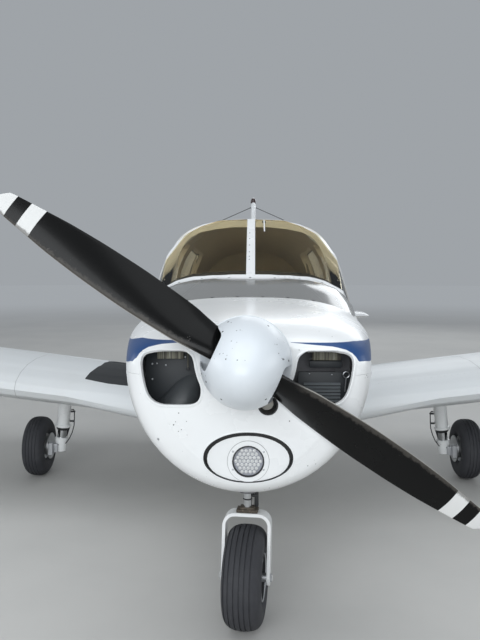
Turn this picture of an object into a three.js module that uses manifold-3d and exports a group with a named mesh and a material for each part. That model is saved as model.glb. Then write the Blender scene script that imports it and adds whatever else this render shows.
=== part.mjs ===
// A light aircraft: low wing, four seats, one engine, fixed gear with a steered nose wheel.
// Millimetres. The nose points to -Y, +X is port and +Z is up; the wheels stand on Z = 0.
// Stations are distances aft of the spinner's tip.
import * as THREE from 'three';
import { mergeVertices } from 'three/addons/utils/BufferGeometryUtils.js';
import Module from 'manifold-3d';

const wasm = await Module();
wasm.setup();

// Driving dimensions of the whole aircraft
const LENGTH = 7100;
const SPAN = 9144;
const FIT = 0.3; // gap between pieces that touch
const MOVING_GAP = 7; // gap between pieces that move

// Fuselage
const FIREWALL = 1265;
const CABIN_END = 3900;
const TAIL_END = 6600;
const CABIN_WALL = 34;
const COWL_WALL = 12;
const TAIL_WALL = 14;
const GLASS = 6;
const RING_POINTS = 32;

// Propeller and spinner
const HUB = { x: -7, station: 231.8, height: 1172 };
const THRUST_DOWN = 2.26; // how far the shaft points down, and to starboard
const THRUST_ASIDE = 0.79;
const PROP_RADIUS = 940;
const PROP_REST_ANGLE = -34; // of the port blade, from the horizontal
const SPINNER_LENGTH = 284;
const SPINNER_RADIUS = 149;

// Wing
const CHORD = 1600;
const WING_STATION = 1991;
const WING_ROOT_X = 560;
const WING_ROOT_HEIGHT = 655;
const DIHEDRAL = 7;
const INCIDENCE = 2;
const WING_THICKNESS = 0.15;
const WING_CAMBER = 0.02;
const TIP_CAP = 290;
const PANEL = (SPAN / 2 - WING_ROOT_X - 7) / Math.cos(THREE.MathUtils.degToRad(DIHEDRAL));

// Control surfaces
// Flaps and ailerons share one hinge line: its place in the wing's section, and the nose about it
const SURFACE_HINGE = { depth: 1300, height: 17, noseRadius: 46, gap: 8 };
const FLAP = { from: 78, to: 1728 };
const AILERON = { from: 1738, to: 3560 };
const STABILATOR = { station: 6050, height: 925, span: 2790, chord: 762, pivot: 190, tab: 130 };
const FIN = { top: 2305, hinge: 6640, halfThickness: 33 };

// Gear
const TYRE_RADIUS = 208;
const MAIN_STATION = 2786;
const MAIN_WHEEL_X = 1525;
const NOSE = { x: -5, station: 834, lead: 48 }; // the steering axis, and how far the axle lies ahead of it
const NOSE_STEER_REST = -7;

// Door: starboard, hinged on an upright line at its front edge
const DOOR_HINGE = { x: -578, station: 1965 };
const DOOR_REACH = 800;

const WHITE = { color: 0xdfe3e6, roughness: 0.3, metalness: 0 };
const GLAZING = { color: 0x8c8a7c, roughness: 0.08, metalness: 0, transparent: true, opacity: 0.5 };
const DARK = { color: 0x222426, roughness: 0.7, metalness: 0 };
const STEEL = { color: 0xb9bcc0, roughness: 0.25, metalness: 1 };
const CHROME = { color: 0xe6e8ea, roughness: 0.08, metalness: 1 };
const RUBBER = { color: 0x35373a, roughness: 0.85, metalness: 0 };
const BLADE_PAINT = { color: 0x17181a, roughness: 0.25, metalness: 0 };
const SEAT_TRIM = { color: 0x8a8378, roughness: 0.8, metalness: 0 };
const RED_LENS = { color: 0x8a1c16, roughness: 0.15, metalness: 0 };
const LAMP_GLASS = { color: 0xc9ced1, roughness: 0.2, metalness: 0.4 };

const aircraft = new THREE.Group();
const radians = THREE.MathUtils.degToRad;
const y = (station) => station - LENGTH / 2;

function add(name, geometry, finish, parent = aircraft) {
  const mesh = new THREE.Mesh(geometry, new THREE.MeshStandardMaterial(finish));
  mesh.name = name;
  parent.add(mesh);
  return mesh;
}

// Joining and cutting

function solid(geometry) {
  const bare = geometry.clone();
  bare.deleteAttribute('normal');
  bare.deleteAttribute('uv');
  const merged = mergeVertices(bare, 1e-3);
  return new wasm.Manifold(new wasm.Mesh({
    numProp: 3,
    vertProperties: Float32Array.from(merged.attributes.position.array),
    triVerts: Uint32Array.from(merged.index.array),
  }));
}

function geometryOf(body) {
  const mesh = body.getMesh();
  const geometry = new THREE.BufferGeometry();
  geometry.setAttribute('position', new THREE.BufferAttribute(mesh.vertProperties, 3));
  geometry.setIndex(new THREE.BufferAttribute(mesh.triVerts, 1));
  geometry.computeVertexNormals();
  return geometry;
}

const joined = (...geometries) => geometries.map(solid).reduce((a, b) => a.add(b));
const cut = (body, ...tools) => tools.reduce((left, tool) => left.subtract(tool), body);

function mirrored(geometry) {
  const twin = geometry.clone();
  twin.scale(-1, 1, 1);
  const index = twin.index.array;
  for (let i = 0; i < index.length; i += 3) {
    [index[i + 1], index[i + 2]] = [index[i + 2], index[i + 1]];
  }
  return twin;
}

// A closed solid through rings of equally many points, each end filled from its middle
function loft(rings) {
  const count = rings[0].length;
  const points = rings.flat();
  const index = [];
  for (let ring = 0; ring + 1 < rings.length; ring += 1) {
    for (let i = 0; i < count; i += 1) {
      const a = ring * count + i;
      const b = ring * count + ((i + 1) % count);
      index.push(a, b, b + count, a, b + count, a + count);
    }
  }
  const middle = (ring) => ring.reduce((sum, p) => sum.add(p), new THREE.Vector3()).divideScalar(count);
  points.push(middle(rings[0]), middle(rings.at(-1)));
  const last = (rings.length - 1) * count;
  for (let i = 0; i < count; i += 1) {
    const next = (i + 1) % count;
    index.push(points.length - 2, next, i);
    index.push(points.length - 1, last + i, last + next);
  }
  const geometry = new THREE.BufferGeometry().setFromPoints(points);
  geometry.setIndex(volume(points, index) < 0 ? index.reverse() : index);
  geometry.computeVertexNormals();
  return geometry;
}

function volume(points, index) {
  let sum = 0;
  for (let i = 0; i < index.length; i += 3) {
    const [a, b, c] = [points[index[i]], points[index[i + 1]], points[index[i + 2]]];
    sum += a.dot(new THREE.Vector3().crossVectors(b, c));
  }
  return sum / 6;
}

// Prisms from outlines given as pairs: (station, height) along X, (x, height) along Y

function prism(outline, depth, xAxis, yAxis, zAxis, origin) {
  const shape = new THREE.Shape(outline.map(([u, v]) => new THREE.Vector2(u, v)));
  const geometry = new THREE.ExtrudeGeometry(shape, { depth, bevelEnabled: false });
  const basis = new THREE.Matrix4().makeBasis(xAxis, yAxis, zAxis).setPosition(origin);
  return geometry.applyMatrix4(basis);
}

const [AXIS_X, AXIS_Y, AXIS_Z] = [[1, 0, 0], [0, 1, 0], [0, 0, 1]].map((a) => new THREE.Vector3(...a));

function prismAlongX(outline, from, to) {
  const origin = new THREE.Vector3(from, -LENGTH / 2, 0);
  return prism(outline, to - from, AXIS_Y, AXIS_Z, AXIS_X, origin);
}

function prismAlongY(outline, fromStation, toStation) {
  const origin = new THREE.Vector3(0, y(toStation), 0);
  return prism(outline, toStation - fromStation, AXIS_X, AXIS_Z, AXIS_Y.clone().negate(), origin);
}

function box(x0, x1, s0, s1, z0, z1) {
  const geometry = new THREE.BoxGeometry(x1 - x0, s1 - s0, z1 - z0);
  return geometry.translate((x0 + x1) / 2, y((s0 + s1) / 2), (z0 + z1) / 2);
}

// A round bar between two points given as x, station, height
function rod(from, to, radius, sides = 16, endRadius = radius) {
  const start = new THREE.Vector3(from[0], y(from[1]), from[2]);
  const end = new THREE.Vector3(to[0], y(to[1]), to[2]);
  const geometry = new THREE.CylinderGeometry(endRadius, radius, start.distanceTo(end), sides);
  const direction = end.clone().sub(start).normalize();
  geometry.applyQuaternion(new THREE.Quaternion().setFromUnitVectors(AXIS_Y, direction));
  return geometry.translate(...start.add(end).multiplyScalar(0.5).toArray());
}

const signedPower = (value, power) => Math.sign(value) * Math.abs(value) ** power;

function oval(x, z, halfWidth, halfHeight, power, count) {
  return Array.from({ length: count }, (_, i) => {
    const angle = (2 * Math.PI * i) / count;
    return [
      x + halfWidth * signedPower(Math.cos(angle), 2 / power),
      z + halfHeight * signedPower(Math.sin(angle), 2 / power),
    ];
  });
}

// Rounds the corners of an outline with arcs of one radius
function rounded(outline, radius, steps = 3) {
  const corners = outline.map(([u, v]) => new THREE.Vector2(u, v));
  return corners.flatMap((corner, i) => {
    const before = corners.at(i - 1).clone().sub(corner).setLength(radius).add(corner);
    const after = corners[(i + 1) % corners.length].clone().sub(corner).setLength(radius).add(corner);
    const curve = new THREE.QuadraticBezierCurve(before, corner, after);
    return curve.getPoints(steps).map((p) => [p.x, p.y]);
  });
}

// Fuselage sections: station, half width, height of the widest line, top, bottom,
// and the powers of the upper and lower curves (2 is an ellipse, more is squarer)

const COWL_SECTIONS = [
  [298, 300, 1122, 1228, 790, 2.4, 2],
  [312, 362, 1123, 1246, 750, 2.5, 2],
  [340, 396, 1126, 1260, 722, 2.7, 1.98],
  [400, 421, 1132, 1276, 696, 2.8, 1.95],
  [500, 440, 1142, 1292, 675, 3, 1.94],
  [800, 486, 1160, 1318, 621, 2.72, 1.9],
  [1100, 521, 1144, 1333, 587, 2.72, 2.09],
  [FIREWALL, 536, 1133, 1342, 574, 2.72, 2.31],
];
const DECK_SECTIONS = [
  COWL_SECTIONS.at(-1),
  [1420, 545, 1126, 1385, 556, 2.9, 2.8],
  [1580, 556, 1124, 1430, 540, 3.1, 3.4],
  [1900, 568, 1130, 1448, 530, 3.2, 4],
  [2300, 568, 1130, 1450, 530, 3.2, 4],
];
const CABIN_SECTIONS = [
  [1400, 542, 1126, 1700, 558, 2.7, 2.8],
  [1900, 568, 1130, 1756, 530, 2.95, 4],
  [2300, 568, 1150, 1788, 530, 2.95, 4],
  [2700, 566, 1150, 1800, 530, 2.9, 4],
  [3100, 556, 1148, 1778, 530, 2.75, 3.8],
  [3500, 535, 1138, 1718, 534, 2.55, 3.4],
  [CABIN_END, 500, 1125, 1645, 548, 2.4, 3],
];
const TAIL_SECTIONS = [
  [CABIN_END, 500, 1125, 1645, 548, 2.4, 3],
  [4600, 422, 1100, 1490, 600, 2.3, 2.6],
  [5300, 322, 1072, 1345, 662, 2.2, 2.4],
  [6000, 210, 1025, 1212, 738, 2.1, 2.2],
  [TAIL_END, 88, 975, 1105, 808, 2, 2],
];

function bodyRing([station, halfWidth, waist, top, bottom, upper, lower], inset = 0) {
  return Array.from({ length: RING_POINTS }, (_, i) => {
    const angle = (2 * Math.PI * i) / RING_POINTS;
    const above = Math.sin(angle) >= 0;
    const power = 2 / (above ? upper : lower);
    const height = (above ? top - waist : waist - bottom) - inset;
    const x = (halfWidth - inset) * signedPower(Math.cos(angle), power);
    const z = waist + height * signedPower(Math.sin(angle), power);
    return new THREE.Vector3(x, y(station), z);
  });
}

// A hull through a table's sections, inset all round and cut short or run on at its ends
function hull(sections, inset = 0, startShift = 0, endShift = 0) {
  const rows = sections.map((row) => [...row]);
  rows[0][0] += startShift;
  rows.at(-1)[0] += endShift;
  return solid(loft(rows.map((row) => bodyRing(row, inset))));
}

// The windshield lies on a curved sheet: at SHIELD_SILL its plan is a half ellipse, and it leans aft
const SHIELD_FRONT = 1580;
const SHIELD_SILL = 1430;
const SHIELD_LEAN = 1.61;
const SHIELD_PLAN = { halfWidth: 610, depth: 760 };

function shieldRing(height, shift) {
  const front = SHIELD_FRONT + (height - SHIELD_SILL) * SHIELD_LEAN + shift;
  const steps = 12;
  const ring = [];
  for (let i = 0; i <= steps; i += 1) {
    const x = SHIELD_PLAN.halfWidth * (1 - (2 * i) / steps);
    const bow = 1 - Math.sqrt(Math.max(0, 1 - (x / SHIELD_PLAN.halfWidth) ** 2));
    ring.push(new THREE.Vector3(x, y(front + SHIELD_PLAN.depth * bow), height));
  }
  ring.push(new THREE.Vector3(-SHIELD_PLAN.halfWidth, y(4700), height));
  ring.push(new THREE.Vector3(SHIELD_PLAN.halfWidth, y(4700), height));
  return ring;
}

// The cabin's upper body: its full sections, less what lies in front of the windshield's sheet
function cabinDome(inset, endShift = 0) {
  const lean = inset * Math.hypot(1, SHIELD_LEAN);
  const sheet = solid(loft([shieldRing(400, lean), shieldRing(1900, lean)]));
  return hull(CABIN_SECTIONS, inset, 0, endShift).intersect(sheet);
}

const deckBody = hull(DECK_SECTIONS);
const fuselageOuter = deckBody.add(cabinDome(0));
const fuselageInner = hull(DECK_SECTIONS, CABIN_WALL, -5, 0).add(cabinDome(CABIN_WALL, 5));
const glassInner = hull(DECK_SECTIONS, GLASS, -5, 0).add(cabinDome(GLASS, 5));

// Side-view outlines, as station and height
const SHIELD_OUTLINE = [[1450, 1150], [1873, 1232], [1915, 1262], [2178, 1690], [2160, 1800], [1450, 1800]];
const FRONT_WINDOW = [[2035, 1272], [2700, 1272], [2700, 1640], [2240, 1640]];
const REAR_WINDOW = [[2850, 1272], [3440, 1272], [3340, 1585], [2850, 1640]];
const DOOR_OUTLINE = [[1976, 905], [2900, 905], [2900, 1700], [2215, 1700], [1976, 1262]];
const WINDOW_CORNER = 60;

function grown(outline, amount) {
  const middle = outline.reduce(([u, v], [a, b]) => [u + a / outline.length, v + b / outline.length], [0, 0]);
  const moved = (value, centre) => value + Math.sign(value - centre) * amount;
  return outline.map(([u, v]) => [moved(u, middle[0]), moved(v, middle[1])]);
}

// The door's edge aft of its hinge is turned about the hinge, so that it swings clear
function doorSweep(grow) {
  const reach = DOOR_REACH + grow;
  const [bottom, top] = [905 - grow, 1700 + grow];
  const corner = 60;
  const profile = [[0, bottom], [reach - corner, bottom], [reach - corner * 0.3, bottom + corner * 0.3],
    [reach, bottom + corner], [reach, top - corner], [reach - corner * 0.3, top - corner * 0.3],
    [reach - corner, top], [0, top]];
  const lathe = new THREE.LatheGeometry(profile.map(([r, z]) => new THREE.Vector2(r, z)), 64);
  lathe.applyMatrix4(new THREE.Matrix4().makeBasis(AXIS_X, AXIS_Z, AXIS_Y.clone().negate()));
  lathe.translate(DOOR_HINGE.x, y(DOOR_HINGE.station), 0);
  return lathe;
}

function doorSolid(grow) {
  const outline = rounded(grown(DOOR_OUTLINE, grow), 30);
  const side = solid(prismAlongX(outline, -700, -200));
  const sweep = doorSweep(grow);
  const turned = volume(pointsOf(sweep), [...sweep.index.array]) < 0 ? flipped(sweep) : sweep;
  return side.intersect(solid(turned));
}

function pointsOf(geometry) {
  const position = geometry.attributes.position;
  const point = (_, i) => new THREE.Vector3().fromBufferAttribute(position, i);
  return Array.from({ length: position.count }, point);
}

function flipped(geometry) {
  geometry.index.array.reverse();
  return geometry;
}

function lathe(profile, segments) {
  const turned = new THREE.LatheGeometry(profile.map(([r, h]) => new THREE.Vector2(r, h)), segments);
  return volume(pointsOf(turned), [...turned.index.array]) < 0 ? flipped(turned) : turned;
}

// A form made at stations, moved so that station 0 is at its own origin
const centred = (geometry) => geometry.translate(0, -y(0), 0);

// Cabin shell with its openings, and the glass and door cut from the same skin
const frontWindow = rounded(FRONT_WINDOW, WINDOW_CORNER);
const rearWindow = rounded(REAR_WINDOW, WINDOW_CORNER);
const windowCut = (outline, from, to) => solid(prismAlongX(outline, from, to));
const glassCut = (outline, from, to) => windowCut(rounded(grown(outline, -FIT), WINDOW_CORNER), from, to);
const shieldOpening = solid(prismAlongX(SHIELD_OUTLINE, -700, 700)).subtract(hull(DECK_SECTIONS, 0, -5, 0));
const wallSkin = fuselageOuter.subtract(fuselageInner);
const glassSkin = fuselageOuter.subtract(glassInner);

add('forward_fuselage', geometryOf(cut(
  wallSkin,
  shieldOpening,
  windowCut(frontWindow, 200, 700),
  windowCut(rearWindow, 200, 700),
  windowCut(rearWindow, -700, -200),
  doorSolid(MOVING_GAP),
)), WHITE);

const door = wallSkin.intersect(doorSolid(0));
add('cabin_door', geometryOf(door.subtract(windowCut(frontWindow, -700, -200))), WHITE);
add('door_window', geometryOf(glassSkin.intersect(glassCut(FRONT_WINDOW, -700, -200))), GLAZING);
add('window_front_left', geometryOf(glassSkin.intersect(glassCut(FRONT_WINDOW, 200, 700))), GLAZING);
add('window_rear_left', geometryOf(glassSkin.intersect(glassCut(REAR_WINDOW, 200, 700))), GLAZING);
add('window_rear_right', geometryOf(glassSkin.intersect(glassCut(REAR_WINDOW, -700, -200))), GLAZING);

const SHIELD_STRIP = 48;
const shieldGlass = glassSkin.intersect(solid(prismAlongX(grown(SHIELD_OUTLINE, -FIT), -700, 700)))
  .subtract(hull(DECK_SECTIONS, -FIT, -5, 0));
const halfShield = shieldGlass.intersect(solid(box(SHIELD_STRIP / 2 + FIT, 700, 1300, 2400, 1000, 1900)));
add('windshield_left', geometryOf(halfShield), GLAZING);
add('windshield_right', mirrored(geometryOf(halfShield)), GLAZING);
add('windshield_strip', geometryOf(shieldGlass.intersect(
  solid(box(-SHIELD_STRIP / 2, SHIELD_STRIP / 2, 1300, 2400, 1000, 1900)),
)), WHITE);

// Cowl, split at the middle of the cooling intakes
const COWL_SPLIT = 1125;
const INTAKE = [[205, 1206], [300, 1206], [338, 1195], [352, 1166], [343, 1104], [326, 1054], [305, 1033],
  [272, 1026], [190, 1025], [158, 1036], [146, 1072], [158, 1116], [170, 1168], [184, 1196]];
const LAMP_OVAL = { x: 2, z: 847, halfWidth: 150, halfHeight: 87, power: 2.05 };
const SMALL_INLET = { x: 67, z: 1025, radius: 34 };
const SHAFT_OPENING = 115;

const through = (outline) => solid(prismAlongY(outline, 200, 480));
const bore = ([x, z], radius, sides = 24) => solid(rod([x, 200, z], [x, 480, z], radius, sides));
const mirroredOutline = (outline) => outline.map(([x, z]) => [-x, z]).reverse();
const { x: ovalX, z: ovalZ, halfWidth, halfHeight, power } = LAMP_OVAL;
const cowlShell = cut(
  hull(COWL_SECTIONS, 0, 0, -FIT),
  hull(COWL_SECTIONS, COWL_WALL, COWL_WALL, 5),
  through(rounded(INTAKE, 7)),
  through(rounded(mirroredOutline(INTAKE), 7)),
  through(oval(ovalX, ovalZ, halfWidth, halfHeight, power, 36)),
  bore([SMALL_INLET.x, SMALL_INLET.z], SMALL_INLET.radius),
  bore([HUB.x, HUB.height], SHAFT_OPENING, 28),
  solid(rod([NOSE.x, NOSE.station, 500], [NOSE.x, NOSE.station, 700], 62, 20)),
  solid(box(-240, 240, 1060, FIREWALL + 20, 500, 650)),
);
const cowlHalf = (z0, z1) => geometryOf(cowlShell.intersect(solid(box(-700, 700, 200, 1400, z0, z1))));
add('cowl_upper', cowlHalf(COWL_SPLIT + FIT / 2, 1500), WHITE);
add('cowl_lower', cowlHalf(400, COWL_SPLIT - FIT / 2), WHITE);

// Lamp plate: a flange trimmed to the cowl's inside, a raised oval in the opening and the lamp's disc
const LAMP = { x: 2, z: 832, radius: 53, discRadius: 70 };
const insideCowl = hull(COWL_SECTIONS, COWL_WALL + FIT, COWL_WALL + FIT, 5);
const lampFlange = solid(prismAlongY(oval(ovalX, 843, 162, 98, power, 36), 318, 322)).intersect(insideCowl);
const lampStep = solid(prismAlongY(oval(ovalX, 840, 138, 79, power, 36), 311, 319));
const lampDisc = solid(rod([LAMP.x, 309, LAMP.z], [LAMP.x, 312, LAMP.z], LAMP.discRadius, 36));
const lampBore = bore([LAMP.x, LAMP.z], LAMP.radius + 1, 32);
add('lamp_plate', geometryOf(lampFlange.add(lampStep).add(lampDisc).subtract(lampBore)), WHITE);
add('landing_lamp', rod([LAMP.x, 306, LAMP.z], [LAMP.x, 352, LAMP.z], LAMP.radius, 32), LAMP_GLASS);

// Engine, firewall and exhaust
const ENGINE = { halfWidth: 365, from: 500, to: 1080, bottom: 985, top: 1212 };
const engineEnds = [ENGINE.from, ENGINE.to, ENGINE.bottom, ENGINE.top];
add('engine', box(-ENGINE.halfWidth, ENGINE.halfWidth, ...engineEnds), DARK);
const firewallSection = [...DECK_SECTIONS[0]];
add('firewall', geometryOf(solid(loft([FIREWALL - 5, FIREWALL - FIT].map((station) => {
  firewallSection[0] = station;
  return bodyRing(firewallSection, COWL_WALL + 3);
})))), STEEL);
add('exhaust_pipe', geometryOf(joined(
  rod([-190, 1000, 760], [-190, 1000, ENGINE.bottom - FIT], 28, 14),
  rod([-190, 985, 770], [-190, 1245, 520], 28, 14),
)), STEEL);

// Propeller: two twisted blades on one hub
// Blade sections: radius, chord, blade angle from the disc, thickness
const BLADE_SECTIONS = [
  [60, 110, 46, 40],
  [150, 130, 44, 34],
  [250, 149, 38, 25],
  [400, 150, 30, 19],
  [550, 141, 24, 15],
  [700, 122, 19, 12],
  [820, 95, 16, 9],
  [900, 76, 14.5, 7],
  [930, 62, 14, 6],
  [PROP_RADIUS, 42, 14, 5],
];
const BLADE_SHAPE = [[-0.5, 0], [-0.4, 0.32], [-0.15, 0.56], [0.15, 0.5], [0.38, 0.24], [0.5, 0],
  [0.38, -0.16], [0.1, -0.38], [-0.2, -0.42], [-0.42, -0.24]];

function blade() {
  return loft(BLADE_SECTIONS.map(([radius, chord, angle, thickness]) => {
    const [cosine, sine] = [Math.cos(radians(angle)), Math.sin(radians(angle))];
    return BLADE_SHAPE.map(([along, across]) => {
      const back = along * chord;
      const front = across * thickness;
      return new THREE.Vector3(radius, back * sine - front * cosine, -back * cosine - front * sine);
    });
  }));
}

// The shaft's own frame: its -Y is the thrust line
const shaft = new THREE.Group();
shaft.position.set(HUB.x, y(HUB.station), HUB.height);
shaft.rotation.set(radians(THRUST_DOWN), 0, -radians(THRUST_ASIDE));
aircraft.add(shaft);
const spinning = new THREE.Group();
spinning.rotation.y = -radians(PROP_REST_ANGLE);
shaft.add(spinning);
const bladeOne = blade();
const bladeTwo = blade().rotateY(Math.PI);
const hub = new THREE.CylinderGeometry(72, 72, 84, 16);
add('propeller', geometryOf(joined(hub, bladeOne, bladeTwo)), BLADE_PAINT, spinning);

// The spinner's profile: radius by height above its base
function spinnerProfile(radius, length) {
  const steps = 8;
  return Array.from({ length: steps + 1 }, (_, i) => {
    const depth = (i / steps) ** 1.6;
    return [radius * Math.sqrt(1 - (1 - depth) ** 1.9), length * (1 - depth)];
  });
}
const spinnerBase = SPINNER_LENGTH - HUB.station;
const spinnerSolid = (radius, length, lift) => {
  const turned = lathe([...spinnerProfile(radius, length), [0, 0]], 32);
  turned.rotateX(Math.PI);
  return solid(turned.translate(0, spinnerBase - lift, 0));
};
// The skin is cut away round each blade's root, from above its rim to near its tip
const SLOT = { half: 62, low: 4, high: 188, corner: 22 };
const [slotAft, slotFront] = [spinnerBase - SLOT.low, spinnerBase - SLOT.high];
const slotOutline = [[slotAft, -SLOT.half], [slotAft, SLOT.half],
  [slotFront, SLOT.half], [slotFront, -SLOT.half]];
const bladeSlots = [0, Math.PI].map((turn) => (
  solid(centred(prismAlongX(rounded(slotOutline, SLOT.corner), 30, 200)).rotateY(turn))
));
const spinnerOpening = solid(new THREE.CylinderGeometry(78, 78, 160, 16).translate(0, 20, 0));
const spinnerShell = spinnerSolid(SPINNER_RADIUS, SPINNER_LENGTH, 0)
  .subtract(spinnerSolid(SPINNER_RADIUS - 5, SPINNER_LENGTH - 16, 5));
add('spinner', geometryOf(cut(spinnerShell, ...bladeSlots, spinnerOpening)), WHITE, spinning);

// Aerofoil outline of unit chord: from the trailing edge over the top, round the nose and back below
function aerofoil(thickness, camber, count = 10) {
  const half = (t) => 5 * thickness * (0.2969 * Math.sqrt(t) - 0.126 * t - 0.3516 * t ** 2
    + 0.2843 * t ** 3 - 0.1015 * t ** 4);
  const mean = (t) => (t < 0.4 ? camber * (0.8 * t - t * t) / 0.16 : camber * (0.2 + 0.8 * t - t * t) / 0.36);
  const stations = Array.from({ length: count + 1 }, (_, i) => (1 + Math.cos((Math.PI * i) / count)) / 2);
  const top = stations.map((t) => [t, mean(t) + half(t)]);
  const below = stations.reverse().slice(1).map((t) => [t, mean(t) - half(t)]);
  return [...top, ...below];
}

const sectionAt = (outline, x, chord, nose = 0, rise = 0) => outline.map(
  ([t, h]) => new THREE.Vector3(x, nose + t * chord, rise + h * chord),
);

// Wing panels are made in their own frame: x along the span, y aft from the leading edge, z up
const wingPlace = new THREE.Matrix4()
  .makeTranslation(WING_ROOT_X, y(WING_STATION), WING_ROOT_HEIGHT)
  .multiply(new THREE.Matrix4().makeRotationY(-radians(DIHEDRAL)))
  .multiply(new THREE.Matrix4().makeRotationX(-radians(INCIDENCE)));

const WING_SECTION = aerofoil(WING_THICKNESS, WING_CAMBER, 12);

// A control surface's section: a round nose about the hinge, then flat to a thin trailing edge
function surfaceSection(hinge, height, radius, trailing, trailingHeight) {
  const nose = Array.from({ length: 9 }, (_, i) => {
    const angle = Math.PI / 2 + (Math.PI * i) / 8;
    return [hinge + radius * Math.cos(angle), height + radius * Math.sin(angle)];
  });
  return [...nose, [trailing, trailingHeight - 2.5], [trailing, trailingHeight + 2.5]];
}

// Where a surface swings: a round cove about the hinge and everything aft of it
function coveSection(hinge, height, radius, aft, tall) {
  const nose = Array.from({ length: 9 }, (_, i) => {
    const angle = Math.PI / 2 + (Math.PI * i) / 8;
    return [hinge + radius * Math.cos(angle), height + radius * Math.sin(angle)];
  });
  const [bottom, top] = [height - tall, height + tall];
  return [[hinge, top], ...nose, [hinge, bottom], [aft, bottom], [aft, top]];
}

function spanwise(outline, from, to) {
  return loft([from, to].map((x) => outline.map(([u, v]) => new THREE.Vector3(x, u, v))));
}

const { depth: hingeDepth, height: hingeHeight, noseRadius, gap: coveGap } = SURFACE_HINGE;
const flapSection = surfaceSection(hingeDepth, hingeHeight, noseRadius, CHORD, 0);
const coveOutline = coveSection(hingeDepth, hingeHeight, noseRadius + coveGap, CHORD + 60, 150);
const JACK_PAD = { x: 1650, depth: 480, size: 60 };

function wingPanel() {
  const straight = loft([-90, PANEL - TIP_CAP].map((x) => sectionAt(WING_SECTION, x, CHORD)));
  // Tip cap: share of the cap's width, share of the chord, share of the thickness
  const caps = [[0, 1, 1], [0.35, 0.975, 0.93], [0.68, 0.93, 0.72], [0.9, 0.87, 0.42], [1, 0.82, 0.16]];
  const tip = loft(caps.map(([out, share, thin]) => sectionAt(
    WING_SECTION.map(([t, h]) => [t, h * (thin / share)]),
    PANEL - TIP_CAP + out * TIP_CAP,
    CHORD * share,
    CHORD * (1 - share) * 0.85,
  )));
  // The leading edge reaches forward at the root
  const gloveSection = aerofoil(WING_THICKNESS * 0.93, WING_CAMBER, 12);
  const glove = loft([
    sectionAt(gloveSection, -90, CHORD * 0.8 + 175, -175, -10),
    sectionAt(gloveSection, 60, CHORD * 0.8 + 150, -150, -8),
    sectionAt(gloveSection, 560, CHORD * 0.8, 4, 0),
  ]);
  const pad = new THREE.BoxGeometry(JACK_PAD.size, JACK_PAD.size, 60);
  pad.translate(JACK_PAD.x, JACK_PAD.depth, -88);
  return cut(
    joined(straight, tip, glove, pad),
    solid(spanwise(coveOutline, FLAP.from - MOVING_GAP, AILERON.to + MOVING_GAP)),
  );
}

const fuselageKeepOut = fuselageOuter.add(hull(CABIN_SECTIONS, -FIT)).add(hull(DECK_SECTIONS, -FIT, 0, 0));
const wingGeometry = geometryOf(wingPanel()).applyMatrix4(wingPlace);
const wingLeft = geometryOf(solid(wingGeometry).subtract(fuselageKeepOut));
const surfaces = {
  flap: spanwise(flapSection, FLAP.from, FLAP.to).applyMatrix4(wingPlace),
  aileron: spanwise(flapSection, AILERON.from, AILERON.to).applyMatrix4(wingPlace),
};
for (const [side, shaped] of [['left', (g) => g], ['right', mirrored]]) {
  add(`wing_${side}`, shaped(wingLeft), WHITE);
  add(`flap_${side}`, shaped(surfaces.flap), WHITE);
  add(`aileron_${side}`, shaped(surfaces.aileron), WHITE);
}

// Tail cone, with bores for the stabilator's tube
const tailShell = cut(
  hull(TAIL_SECTIONS, 0, FIT, 0),
  hull(TAIL_SECTIONS, TAIL_WALL, -5, -TAIL_WALL),
  solid(rod([-300, STABILATOR.station + STABILATOR.pivot, STABILATOR.height],
    [300, STABILATOR.station + STABILATOR.pivot, STABILATOR.height], 36, 20)),
);
const tailPad = solid(box(-30, 30, 5700, 5780, 680, 730));
add('tail_cone', geometryOf(tailShell.add(tailPad.subtract(hull(TAIL_SECTIONS, TAIL_WALL / 2)))), WHITE);

// Fin sections: height, leading edge station, trailing edge station, share of the thickness
const FIN_SECTIONS = [
  [1040, 5330, FIN.hinge - 22, 1],
  [1330, 5560, FIN.hinge - 22, 1],
  [1420, 5690, FIN.hinge - 22, 1],
  [2180, 6277, FIN.hinge - 22, 0.95],
  [FIN.top - 30, 6352, FIN.hinge - 24, 0.86],
  [FIN.top - 8, 6380, FIN.hinge - 34, 0.6],
  [FIN.top, 6400, FIN.hinge - 50, 0.32],
];
const finOutline = aerofoil(1, 0, 8);

// The fin keeps most of its thickness to its trailing edge, where the rudder's round nose follows
function finBody() {
  return solid(loft(FIN_SECTIONS.map(([height, front, back, share]) => finOutline.map(([t, h]) => {
    const half = FIN.halfThickness * share;
    const aft = Math.max(0, t - 0.3) / 0.7;
    const across = aft > 0 ? Math.sign(h) * half * (1 - 0.3 * aft ** 2) : 2 * h * half;
    const blunt = Math.min(1, (1 - t) * 40 + 0.55);
    return new THREE.Vector3(across * blunt, y(front + t * (back - front)), height);
  }))));
}
const ANTENNA = { station: 6455, height: 2242, tipX: 390, tipStation: 6640, tipHeight: 2104 };
const antennaEnd = (side, x) => [side * x, ANTENNA.station, ANTENNA.height];
const antennaCore = (grow) => rod(antennaEnd(-1, 40), antennaEnd(1, 40), 7 + grow, 16);
add('fin', geometryOf(cut(finBody(), hull(TAIL_SECTIONS, -FIT), solid(antennaCore(FIT)))), WHITE);

// Rudder sections: height, trailing edge station, nose radius
const RUDDER_SECTIONS = [
  [1125, 7085, 30],
  [1300, 7100, 30],
  [2190, 6965, 24],
  [FIN.top - 14, 6925, 18],
];
const rudder = loft(RUDDER_SECTIONS.map(([height, trailing, radius]) => (
  surfaceSection(FIN.hinge + 18, 0, radius, trailing, 0).map(([u, v]) => new THREE.Vector3(v, y(u), height))
)));
add('rudder', rudder, WHITE);

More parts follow.
